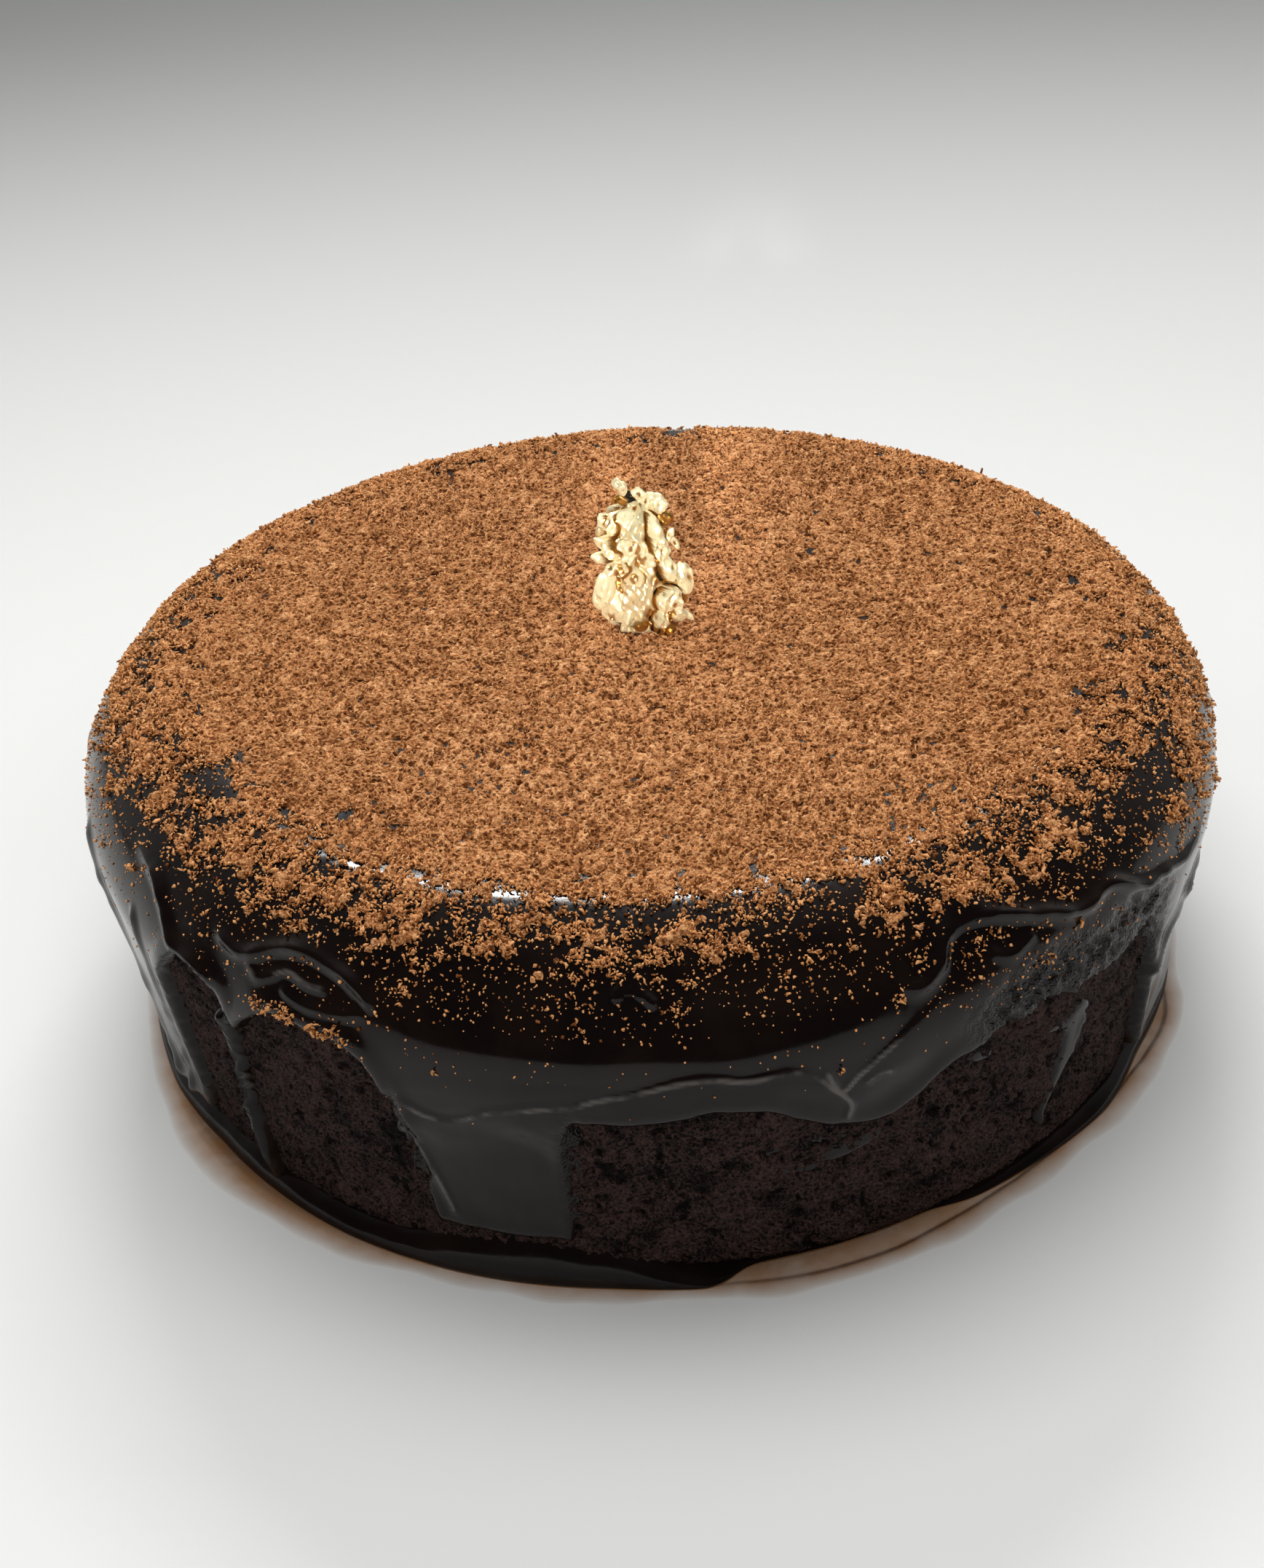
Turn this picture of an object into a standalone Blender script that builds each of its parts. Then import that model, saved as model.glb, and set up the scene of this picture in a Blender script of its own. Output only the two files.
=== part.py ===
"""A small whole chocolate cake under poured ganache, dusted with cocoa and topped with a crumpled gold leaf.

Five nodes, all of them at rest, with the base on z = 0 and the front towards -Y:
    sponge         the baked cake, one solid
    ganache        the poured skin over the top and shoulder, with an uneven lower edge and runs
    ganache_foot   the ring of ganache that has settled round the base
    cocoa          the dusting on the top, out to an uneven rim on the shoulder
    gold_leaf      the crumpled leaf that stands in the middle
Every piece starts as a primitive whose points a rule moves, and the rules share one cake outline.
Angles are measured round the cake from the front, positive to the right.
"""

import math

import bmesh
import bpy
import numpy as np

MM = 0.001

# Driving dimensions, in metres
CAKE_RADIUS = 60.0 * MM  # the ganache at its widest, under the shoulder
CAKE_HEIGHT = 39.4 * MM  # from the plate to the top of the cocoa
SHOULDER_RADIUS = 11.9 * MM
SIDE_LEAN = math.radians(8.0)  # the side narrows towards the base
GANACHE_DEPTH = 1.3 * MM
COCOA_DEPTH = 0.7 * MM
GAP = 0.3 * MM  # between neighbouring solids
TOP_DISH = 0.5 * MM  # how far the middle of the top has sunk
CORNER_ROUND = 1.0 * MM  # the sponge's lower corner
OUT_OF_ROUND = ((2, 28.0, 0.30 * MM), (3, -6.0, 0.20 * MM), (7, 13.0, 0.10 * MM))  # count, peak angle, height

# The ganache's lower edge: angles in degrees, heights above the plate
EDGE_LEVEL = 23.5 * MM
EDGE_WAVES = ((1, -110.0, 1.6 * MM), (3, 20.0, 1.2 * MM), (8, 4.0, 0.8 * MM))  # count, peak angle, height
EDGE_SWAGS = (  # middle, half width, how much higher (+) or lower (-) the edge hangs there
    (-50.0, 5.5, 3.0 * MM),
    (-34.0, 8.5, 4.0 * MM),
    (16.5, 6.5, -4.5 * MM),
    (49.0, 5.0, 3.0 * MM),
    (120.0, 9.0, 4.0 * MM),
    (172.0, 8.0, -4.0 * MM),
    (-132.0, 9.0, 3.5 * MM),
)
RUNS = (  # middle, half width, height of the lower end, or 0 for a run that meets the foot
    (-80.0, 25.0, 0.0),
    (-44.7, 2.4, 0.0),
    (-17.0, 8.8, 0.0),
    (41.5, 2.6, 4.5 * MM),
    (68.0, 11.5, 0.0),
    (98.0, 3.0, 7.0 * MM),
    (143.0, 9.5, 0.0),
    (-172.0, 3.2, 6.0 * MM),
    (-152.0, 7.0, 0.0),
    (-115.0, 3.0, 9.0 * MM),
)
SWAG_POWER = 2
RUN_POWER = 5  # how squarely a run leaves the edge above it
LIP_SWELL = 0.5 * MM  # extra depth in the bead along the lower edge
LIP_WIDTH = 4.0 * MM
LIP_ROUND = 0.5 * MM

# The foot ring
FOOT_HEIGHT = 1.3 * MM
FOOT_REACH = 1.0 * MM  # past the ganache's own line at the plate
FOOT_SWELLS = (  # middle, half width, extra height
    (-14.0, 12.0, 4.4 * MM),
    (-52.0, 17.0, 1.6 * MM),
    (72.0, 18.0, 1.2 * MM),
    (160.0, 24.0, 2.0 * MM),
)
SWELL_REACH = 0.15  # how much further out the foot lies for each unit of that height
FOOT_WAVES = ((4, 15.0, 0.25 * MM), (9, -20.0, 0.20 * MM), (17, 5.0, 0.12 * MM))  # count, peak angle, reach

# The cocoa's rim, in degrees down the shoulder
RIM_TURN = 30.0
RIM_WAVES = (  # count, peak angle, how much further down
    (1, 180.0, 8.0),
    (2, 90.0, 7.0),
    (5, 40.0, 3.0),
    (9, -15.0, 2.5),
    (14, 8.0, 1.8),
)
RIM_TAPER = 3.0 * MM  # how far in from its rim the cocoa starts to thin
RIM_THINNEST = 0.35  # of its full depth
RIM_MIDDLE = 0.5  # how high in its depth the rim's own line runs
COCOA_LUMPS = 0.10 * MM
LUMP_TURNS = (5, 8)  # lumps round the cake, in two crossing patterns
LUMP_LENGTHS = (7.0 * MM, -15.7 * MM)  # and along the path

# The gold leaf
LEAF_PLACE = 0.8 * MM  # to the right of the middle
LEAF_HEIGHT = 15.2 * MM
LEAF_HALF_WIDTHS = (  # share of the height, half width there
    (0.0, 2.6 * MM),
    (0.16, 4.6 * MM),
    (0.4, 4.7 * MM),
    (0.75, 3.4 * MM),
    (1.0, 1.5 * MM),
)
LEAF_FLATNESS = 0.55  # front to back, over the width
LEAF_LEAN = -0.8 * MM  # the tip, to the right of the foot
LEAF_TURN = math.radians(-8.0)
LEAF_SEED = 11
LEAF_FOLDS = ((7, 4.6 * MM, 1.00 * MM), (9, 2.2 * MM, 0.35 * MM))  # folds, their spacing, their depth
FOLD_END = 0.06  # folds fade over this share of the height at the foot and the tip
FOLD_LIFT = 0.4  # how much of a fold's depth goes up and down

# Facets
ROUND_SEGMENTS = 128  # the ganache and its foot meet along a line, so they share their segments
PLAIN_SEGMENTS = 72
SPONGE_ARC_STEPS = 7
SPONGE_SIDE_STEPS = 4
GANACHE_TOP_SHARES = (0, 0.35, 0.7, 1)  # of the flat top's radius
GANACHE_TURNS = (0.325, 0.65, 0.975, 1.3)  # down the shoulder, in radians
GANACHE_SIDE_SHARES = (0.14, 0.32, 0.52, 0.72, 0.88)  # of what is left down to the edge
COCOA_SHARES = (0, 0.3, 0.6, 0.82, 0.92, 0.98, 1)  # of the way to the rim
FOOT_SECTION_POINTS = 6
LEAF_SUBDIVISIONS = 4
TORUS_RADIUS, TUBE_RADIUS = 1.0, 0.25  # of the foot's primitive, before its points are moved
SMOOTH_BELOW = math.radians(40)
CREASE_ABOVE = math.radians(12)

# What follows from the dimensions
GANACHE_TOP = CAKE_HEIGHT - COCOA_DEPTH - GAP
FLAT_RADIUS = CAKE_RADIUS - SHOULDER_RADIUS
FULL_TURN = math.pi / 2 + SIDE_LEAN
ARC_END = FLAT_RADIUS + SHOULDER_RADIUS * FULL_TURN
SIDE_TOP = GANACHE_TOP - SHOULDER_RADIUS * (1 + math.sin(SIDE_LEAN))
FULL_PATH = ARC_END + SIDE_TOP / math.cos(SIDE_LEAN)
FOLLOWS_EDGE = FLAT_RADIUS + GANACHE_TURNS[-1] * SHOULDER_RADIUS  # the ganache's rings past this path do
LEAF_FOOT = CAKE_HEIGHT - TOP_DISH + 2 * COCOA_LUMPS + GAP


# The outline that every rule reads


def apart(angle, middle):
    """Degrees from middle to each angle, the short way round."""
    return (np.degrees(angle) - middle + 180) % 360 - 180


def waves(angle, rows):
    """The sum of rows of (count round the cake, peak angle, height)."""
    return sum(height * np.cos(np.radians(count * apart(angle, peak))) for count, peak, height in rows)


def hump(angle, middle, half_width, power):
    """1 at the middle, a half at half_width degrees away, then 0; a higher power is squarer."""
    return 1 / (1 + np.abs(apart(angle, middle) / half_width) ** (2 * power))


def outline(path, inset):
    """Radius and height of the point that lies this path from the top's middle, over the shoulder and down the
    side, and this inset inside the ganache's outer surface."""
    turn = np.clip((path - FLAT_RADIUS) / SHOULDER_RADIUS, 0, FULL_TURN)
    down = np.clip(path - ARC_END, 0, None)
    flat = np.minimum(path, FLAT_RADIUS)
    arc_radius = SHOULDER_RADIUS - inset
    radius = flat + arc_radius * np.sin(turn) - down * math.sin(SIDE_LEAN)
    height = GANACHE_TOP - SHOULDER_RADIUS + arc_radius * np.cos(turn) - down * math.cos(SIDE_LEAN)
    return radius, height - TOP_DISH * (1 - (flat / FLAT_RADIUS) ** 2)


def path_at(height):
    """The path on the outer surface at a height that is on the shoulder or the side."""
    rise = np.clip((height - GANACHE_TOP) / SHOULDER_RADIUS + 1, -math.sin(SIDE_LEAN), 1)
    on_shoulder = FLAT_RADIUS + SHOULDER_RADIUS * np.arccos(rise)
    return np.where(height > SIDE_TOP, on_shoulder, FULL_PATH - height / math.cos(SIDE_LEAN))


def around(angle, radius, height):
    """Points at these angles from the front, on the slightly uneven round of the cake."""
    uneven = radius + waves(angle, OUT_OF_ROUND) * (radius / CAKE_RADIUS) ** 4
    return np.stack([uneven * np.sin(angle), -uneven * np.cos(angle), height + 0 * angle], axis=-1)


# The rules: each turns the ring number and angle of a primitive's points into places


def sponge_rows():
    """One row for each ring, its radius and height: over the top and shoulder, down the side, round the lower
    corner and in under the base."""
    shoulder = np.linspace(FLAT_RADIUS, ARC_END, SPONGE_ARC_STEPS + 1)
    side = np.linspace(ARC_END, FULL_PATH - CORNER_ROUND, SPONGE_SIDE_STEPS + 1)[1:]
    paths = np.concatenate([[0, FLAT_RADIUS / 2], shoulder, side])
    shell = np.column_stack(outline(paths, GANACHE_DEPTH + GAP))
    low = shell[-1, 0]
    chamfer = 0.3 * CORNER_ROUND
    base = [(low - chamfer, chamfer), (low - CORNER_ROUND, 0), (low / 2, 0), (0, 0)]
    return np.concatenate([shell, base])


def sponge_rule(ring, angle):
    return around(angle, *sponge_rows()[ring].T)


def foot_height(angle):
    """The foot's height against the sponge."""
    swells = (rise * hump(angle, middle, half, SWAG_POWER) for middle, half, rise in FOOT_SWELLS)
    return FOOT_HEIGHT + sum(swells)


def ganache_edge(angle):
    """Height of the ganache's lower edge: a waved level with swags, from which sheets and thin runs go down."""
    lowest = foot_height(angle) + GAP
    level = EDGE_LEVEL + waves(angle, EDGE_WAVES)
    for middle, half, rise in EDGE_SWAGS:
        level = level + rise * hump(angle, middle, half, SWAG_POWER)
    for middle, half, end in RUNS:
        level = level + (np.maximum(end, lowest) - level) * hump(angle, middle, half, RUN_POWER)
    return np.maximum(level, lowest)


def ganache_rows():
    """One row for each ring: its path where that doesn't follow the edge, its share of what is left down to the
    edge, how far it stays short of that, and its inset."""
    top = [(share * FLAT_RADIUS, 0, 0, 0) for share in GANACHE_TOP_SHARES]
    shoulder = [(FLAT_RADIUS + turn * SHOULDER_RADIUS, 0, 0, 0) for turn in GANACHE_TURNS]
    side = [(FOLLOWS_EDGE, share, 0, 0) for share in GANACHE_SIDE_SHARES]
    lip = [
        (FOLLOWS_EDGE, 1, LIP_ROUND, 0),
        (FOLLOWS_EDGE, 1, 0, 0.6 * GANACHE_DEPTH),
        (FOLLOWS_EDGE, 1, LIP_ROUND / 2, GANACHE_DEPTH),
    ]
    backed = [top[0], top[-1], *shoulder, *side]
    inside = [(path, share, short, GANACHE_DEPTH) for path, share, short, _ in reversed(backed)]
    return np.array(top + shoulder + side + lip + inside)


def ganache_rule(ring, angle):
    """A skin over the sponge: rings go out over the top, down to the beaded edge, and back inside."""
    fixed, share, short, inset = ganache_rows()[ring].T
    edge = path_at(ganache_edge(angle))
    path = fixed + share * (edge - FOLLOWS_EDGE) - short
    near = np.clip(1 - (edge - path) / LIP_WIDTH, 0, 1)
    swell = np.where(inset == 0, LIP_SWELL * np.sin(math.pi * near), 0)
    return around(angle, *outline(path, inset - swell))


def cocoa_rule(ring, angle):
    """A thin cap over the ganache, thinner towards its uneven rim: rings go out over it and back under it."""
    rim_ring = len(COCOA_SHARES) - 1
    share = np.array(COCOA_SHARES + COCOA_SHARES[-2::-1])[ring]
    rim = FLAT_RADIUS + SHOULDER_RADIUS * np.radians(RIM_TURN + waves(angle, RIM_WAVES))
    path = share * rim
    depth = COCOA_DEPTH * np.clip((rim - path) / RIM_TAPER + RIM_THINNEST, RIM_THINNEST, 1)
    for turns, length in zip(LUMP_TURNS, LUMP_LENGTHS):
        lumps = COCOA_LUMPS / 2 * np.sin(turns * angle + 2 * math.pi * path / length)
        depth = depth + np.where(ring < rim_ring - 1, lumps, 0)
    raised = np.select([ring < rim_ring, ring == rim_ring], [1, RIM_MIDDLE], 0)
    return around(angle, *outline(path, -GAP - raised * depth))


def foot_rule(ring, angle):
    """A section of the foot ring: 0 is at the sponge on the plate, and 1 to the last go round its back."""
    low = outline(FULL_PATH, GANACHE_DEPTH)[0]
    height = foot_height(angle)
    inner = low + height * math.tan(SIDE_LEAN)
    reach = low + GANACHE_DEPTH + FOOT_REACH + waves(angle, FOOT_WAVES) + SWELL_REACH * (height - FOOT_HEIGHT)
    turn = math.pi / 2 * (ring - 1) / (FOOT_SECTION_POINTS - 2)
    radius = np.where(ring == 0, low, inner + (reach - inner) * np.cos(turn))
    return around(angle, radius, np.where(ring == 0, 0, height * np.sin(turn)))


def leaf_rule(ball):
    """A unit ball's points drawn out to the leaf's outline, then folded in and out by sharp-edged waves."""
    share = (ball[:, 2] + 1) / 2
    half = np.interp(share, *zip(*LEAF_HALF_WIDTHS))
    across = ball[:, :2] / np.hypot(ball[:, 0], ball[:, 1])[:, None].clip(1e-6)
    place = np.column_stack([half * across[:, 0], half * LEAF_FLATNESS * across[:, 1], share * LEAF_HEIGHT])
    chance = np.random.default_rng(LEAF_SEED)
    fold = np.zeros(len(place))
    for count, spacing, depth in LEAF_FOLDS:
        for way in chance.normal(size=(count, 3)):
            phase = place @ (way / np.linalg.norm(way)) / spacing + chance.random()
            fold += depth / math.sqrt(count) * (4 * np.abs(phase % 1 - 0.5) - 1)
    fold *= np.sin(math.pi * share.clip(FOLD_END, 1 - FOLD_END))
    place += fold[:, None] * np.column_stack([across, FOLD_LIFT * ball[:, 2]])
    place[:, 0] += LEAF_LEAN * share
    cos, sin = math.cos(LEAF_TURN), math.sin(LEAF_TURN)
    x = LEAF_PLACE + cos * place[:, 0] - sin * place[:, 1]
    y = sin * place[:, 0] + cos * place[:, 1]
    return np.column_stack([x, y, LEAF_FOOT + place[:, 2].clip(0, LEAF_HEIGHT)])


# The objects


def material(name, colour, roughness, metallic=0.0):
    made = bpy.data.materials.new(name)
    made.use_nodes = True
    shader = made.node_tree.nodes["Principled BSDF"]
    shader.inputs["Base Color"].default_value = (*colour, 1.0)
    shader.inputs["Roughness"].default_value = roughness
    shader.inputs["Metallic"].default_value = metallic
    return made


def points_of(mesh):
    points = np.empty(3 * len(mesh.vertices))
    mesh.vertices.foreach_get("co", points)
    return points.reshape(-1, 3)


def finished(mesh, points, finish, smooth_below):
    """An object in the cake's collection, from a mesh with its points moved."""
    mesh.vertices.foreach_set("co", points.ravel())
    mesh.update()
    mesh.materials.append(finish)
    mesh.shade_smooth()
    mesh.set_sharp_from_angle(angle=smooth_below)
    made = bpy.data.objects.new(mesh.name, mesh)
    cake.objects.link(made)
    return made


def ball_piece(name, segments, rings, rule, finish):
    """A UV sphere whose ring number, counted from the top pole, and angle go through a rule."""
    mesh = bpy.data.meshes.new(name)
    ball = bmesh.new()
    bmesh.ops.create_uvsphere(ball, u_segments=segments, v_segments=rings, radius=1.0)
    ball.to_mesh(mesh)
    ball.free()
    points = points_of(mesh)
    ring = np.rint(np.arccos(points[:, 2].clip(-1, 1)) / math.pi * rings).astype(int)
    angle = np.arctan2(points[:, 0], -points[:, 1])
    return finished(mesh, rule(ring, angle), finish, SMOOTH_BELOW)


def ring_piece(name, segments, section_points, rule, finish):
    """A torus whose section point, counted from the lower inner one, and angle go through a rule."""
    bpy.ops.mesh.primitive_torus_add(
        major_segments=segments,
        minor_segments=section_points,
        major_radius=TORUS_RADIUS,
        minor_radius=TUBE_RADIUS,
    )
    torus = bpy.context.object
    mesh = torus.data
    mesh.name = name
    points = points_of(mesh)
    turn = np.arctan2(points[:, 2], np.hypot(points[:, 0], points[:, 1]) - TORUS_RADIUS)
    ring = (np.rint(turn / (2 * math.pi) * section_points).astype(int) + 1) % section_points
    angle = np.arctan2(points[:, 0], -points[:, 1])
    bpy.data.objects.remove(torus)
    return finished(mesh, rule(ring, angle), finish, SMOOTH_BELOW)


def leaf_piece(name, finish):
    """An icosphere, crumpled."""
    mesh = bpy.data.meshes.new(name)
    ball = bmesh.new()
    bmesh.ops.create_icosphere(ball, subdivisions=LEAF_SUBDIVISIONS, radius=1.0)
    ball.to_mesh(mesh)
    ball.free()
    return finished(mesh, leaf_rule(points_of(mesh)), finish, CREASE_ABOVE)


for old in list(bpy.data.objects):
    bpy.data.objects.remove(old, do_unlink=True)

cake = bpy.data.collections.new("chocolate_cake")
bpy.context.scene.collection.children.link(cake)

sponge_crumb = material("sponge_crumb", (0.012, 0.007, 0.006), 0.75)
ganache_gloss = material("ganache_gloss", (0.008, 0.005, 0.004), 0.12)
cocoa_powder = material("cocoa_powder", (0.40, 0.17, 0.065), 0.95)
leaf_gold = material("leaf_gold", (0.95, 0.74, 0.38), 0.25, 1.0)

ball_piece("sponge", PLAIN_SEGMENTS, len(sponge_rows()) - 1, sponge_rule, sponge_crumb)
ball_piece("ganache", ROUND_SEGMENTS, len(ganache_rows()) - 1, ganache_rule, ganache_gloss)
ball_piece("cocoa", PLAIN_SEGMENTS, 2 * (len(COCOA_SHARES) - 1), cocoa_rule, cocoa_powder)
ring_piece("ganache_foot", ROUND_SEGMENTS, FOOT_SECTION_POINTS, foot_rule, ganache_gloss)
leaf_piece("gold_leaf", leaf_gold)
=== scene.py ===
import itertools
import math

import bpy
import numpy as np
from mathutils import Matrix, Vector


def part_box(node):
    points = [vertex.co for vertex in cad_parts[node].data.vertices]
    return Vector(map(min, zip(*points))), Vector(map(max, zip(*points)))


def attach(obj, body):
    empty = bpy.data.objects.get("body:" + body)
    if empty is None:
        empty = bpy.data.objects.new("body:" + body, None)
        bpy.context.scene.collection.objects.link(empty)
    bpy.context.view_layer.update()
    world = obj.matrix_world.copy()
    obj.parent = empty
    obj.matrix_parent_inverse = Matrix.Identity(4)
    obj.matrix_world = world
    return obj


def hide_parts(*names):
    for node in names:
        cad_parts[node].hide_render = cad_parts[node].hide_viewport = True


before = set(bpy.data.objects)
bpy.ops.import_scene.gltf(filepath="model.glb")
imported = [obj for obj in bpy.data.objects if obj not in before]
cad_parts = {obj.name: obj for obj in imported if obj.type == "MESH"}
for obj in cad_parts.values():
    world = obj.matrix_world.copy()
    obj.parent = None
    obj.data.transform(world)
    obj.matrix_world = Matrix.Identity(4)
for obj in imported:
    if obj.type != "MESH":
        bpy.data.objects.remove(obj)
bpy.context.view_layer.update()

# Lengths are in millimetres and angles in degrees from the front, positive to the right, until a mesh is
# made. A place on the cake is an angle and a path, the way from the top's middle over the shoulder and down
# the side. A lift is the distance out from the smooth form that the poured ganache would have.
metre = 1000.0

cakeForm = {
    "radius": 60.0,
    "shoulder": 11.9,
    "lean": 8.0,
    "dish": 0.5,
    "outOfRound": ((2, 28.0, 0.30), (3, -6.0, 0.20), (7, 13.0, 0.10)),  # count, peak angle, height
}
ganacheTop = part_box("ganache")[1][2] * metre
flatRadius = cakeForm["radius"] - cakeForm["shoulder"]
lean = math.radians(cakeForm["lean"])
fullTurn = math.pi / 2 + lean
arcEnd = flatRadius + cakeForm["shoulder"] * fullTurn
sideTop = ganacheTop - cakeForm["shoulder"] * (1 + math.sin(lean))
fullPath = arcEnd + sideTop / math.cos(lean)


# Shared formulas

def apart(angle, middle):  # degrees from middle to angle, the short way round
    return (angle - middle + 180) % 360 - 180


def smooth(value, low, high):  # 0 below low, 1 above high, an S between
    share = np.clip((value - low) / (high - low), 0, 1)
    return share * share * (3 - 2 * share)


def hump(value, width):  # a bell, 1 at 0
    return np.exp(-(value / width) ** 2)


def placed(angle, radius, height):  # the point at this angle, radius and height
    way = np.radians(angle)
    return np.stack(np.broadcast_arrays(radius * np.sin(way), -radius * np.cos(way), height), axis=-1)


def onCake(angle, path, lift):
    # the cake's outline turned round its axis: flat to the shoulder, an arc over it, then a leaning straight
    # side, pushed out along its own normal by the lift, with a few long waves for the hand-made round
    turn = np.clip((path - flatRadius) / cakeForm["shoulder"], 0, fullTurn)
    down = np.clip(path - arcEnd, 0, None)
    flat = np.minimum(path, flatRadius)
    arc = cakeForm["shoulder"] + lift
    radius = flat + arc * np.sin(turn) - down * math.sin(lean)
    height = ganacheTop - cakeForm["shoulder"] + arc * np.cos(turn) - down * math.cos(lean)
    height = height - cakeForm["dish"] * (1 - (flat / flatRadius) ** 2)
    for count, peak, size in cakeForm["outOfRound"]:
        wave = size * np.cos(np.radians(count * apart(angle, peak)))
        radius = radius + wave * (radius / cakeForm["radius"]) ** 4
    return placed(angle, radius, height)


def pathAt(height):  # the path of a height on the shoulder or the side
    height = np.asarray(height, float)
    rise = np.clip((height - ganacheTop) / cakeForm["shoulder"] + 1, -math.sin(lean), 1)
    onArc = flatRadius + cakeForm["shoulder"] * np.arccos(rise)
    return np.where(height > sideTop, onArc, fullPath - height / math.cos(lean))


def chance(cells, seed):
    # a fixed random number from 0 to 1 for each whole-number cell, by mixing its three numbers' bits
    a, b, c = (cells[..., k] * prime for k, prime in enumerate((73856093, 19349663, 83492791)))
    mixed = a ^ b ^ c ^ (seed * 2971215073)
    mixed = (mixed ^ (mixed >> 15)) * 1274126177
    mixed = (mixed ^ (mixed >> 17)) * 668265263
    return ((mixed >> 11) & 0xFFFFF) / 0x100000


def cloud(points, size, seed):
    # smooth noise from -1 to 1: a random number at each lattice corner, blended with an S between the corners
    cell = np.floor(points / size).astype(np.int64)
    share = points / size - cell
    share = share * share * (3 - 2 * share)
    total = 0
    for corner in itertools.product((0, 1), repeat=3):
        weight = np.prod(np.where(np.array(corner) == 1, share, 1 - share), axis=-1)
        total = total + weight * chance(cell + np.array(corner), seed)
    return 2 * total - 1


def clouds(points, size, seed, layers):  # noise with finer, fainter noise over it
    return sum(cloud(points, size / 2**k, seed + k) / 2**k for k in range(layers)) / (2 - 0.5 ** (layers - 1))


def roundNoise(angle, radius, size, seed, layers):  # the same read along a circle, so that it closes
    way = np.radians(angle)
    return clouds(radius * np.stack([np.sin(way), np.cos(way), 0 * way], axis=-1), size, seed, layers)


def lumps(points, size, seed):
    # the highest of a crowd of round lumps, one in each lattice cell, by the dome 1 - (distance / radius)^2
    base = np.floor(points / size).astype(np.int64)
    best = np.zeros(points.shape[:-1])
    for corner in itertools.product((-1, 0, 1), repeat=3):
        cell = base + np.array(corner)
        centre = [cell[..., k] + 0.1 + 0.8 * chance(cell, seed + k) for k in range(3)]
        centre = np.stack(centre, axis=-1) * size
        radius = size * (0.42 + 0.4 * chance(cell, seed + 3))
        gap = ((points - centre) ** 2).sum(axis=-1)
        best = np.maximum(best, (1 - gap / radius**2) * radius)
    return best


def curly(points, size, seed):
    # winding ridges: crests along the lines where a noise crosses 0, with dales between
    return 1 - np.minimum(np.abs(cloud(points, size, seed)) / 0.55, 1)


def roundedLine(line, pieces):
    # a smooth curve through the line's points: cubic pieces whose slope at a point is half the step between
    # its neighbours
    line = np.array(line, float)
    line[:, 1] = pathAt(line[:, 1])
    slope = np.gradient(line, axis=0)
    share = np.linspace(0, 1, pieces, endpoint=False)[:, None, None]
    a, b, c, d = line[:-1], line[1:], slope[:-1], slope[1:]
    curve = a + c * share + (3 * (b - a) - 2 * c - d) * share**2 + (2 * (a - b) + c + d) * share**3
    return np.concatenate([curve.transpose(1, 0, 2).reshape(-1, 2), line[-1:]])


def nearLine(angle, path, line):
    # distance from each place to a line on the unrolled side, which side of it (+ is below), and the share
    # of the way along it
    best = np.full(np.shape(angle + path), 1e9)
    side = np.zeros_like(best)
    along = np.zeros_like(best)
    starts, ends = line[:-1], line[1:]
    for k, (start, end) in enumerate(zip(starts, ends)):
        stepAcross, stepDown = end - start
        across, down = apart(angle, start[0]), path - start[1]
        share = np.clip((across * stepAcross + down * stepDown) / (stepAcross**2 + stepDown**2), 0, 1)
        gap = np.hypot(across - share * stepAcross, down - share * stepDown)
        near = gap < best
        best = np.where(near, gap, best)
        side = np.where(near, np.sign(down * stepAcross - across * stepDown), side)
        along = np.where(near, (k + share) / len(starts), along)
    return best, side, along


# Meshes from arrays

def makePiece(name, points, quads, triangles, material, replaces=(), flat=None, marks=None, soft=True):
    # one mesh from corner numbers: the quads first, then the triangles
    mesh = bpy.data.meshes.new(name)
    corners = np.concatenate([np.ravel(quads), np.ravel(triangles)]).astype(np.int32)
    quadCount, triangleCount = len(quads), len(triangles)
    starts = np.concatenate([4 * np.arange(quadCount), 4 * quadCount + 3 * np.arange(triangleCount)])
    mesh.vertices.add(len(points))
    mesh.vertices.foreach_set("co", (points / metre).astype(np.float32).ravel())
    mesh.loops.add(len(corners))
    mesh.loops.foreach_set("vertex_index", corners)
    mesh.polygons.add(len(starts))
    mesh.polygons.foreach_set("loop_start", starts.astype(np.int32))
    mesh.update(calc_edges=True)
    if soft:
        mesh.shade_smooth()
    else:
        mesh.shade_flat()
    for markName, values in (marks or {}).items():
        mark = mesh.attributes.new(markName, "FLOAT", "POINT")
        mark.data.foreach_set("value", np.asarray(values, np.float32).ravel())
    if flat is not None:
        layer = mesh.uv_layers.new(name="OFBake")
        layer.data.foreach_set("uv", flat.astype(np.float32).ravel())
    mesh.materials.append(material)
    piece = bpy.data.objects.new(name, mesh)
    bpy.context.scene.collection.objects.link(piece)
    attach(piece, "root")
    for node in replaces:
        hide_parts(node)
    print(name, quadCount * 2 + triangleCount, "triangles")
    return piece


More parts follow.
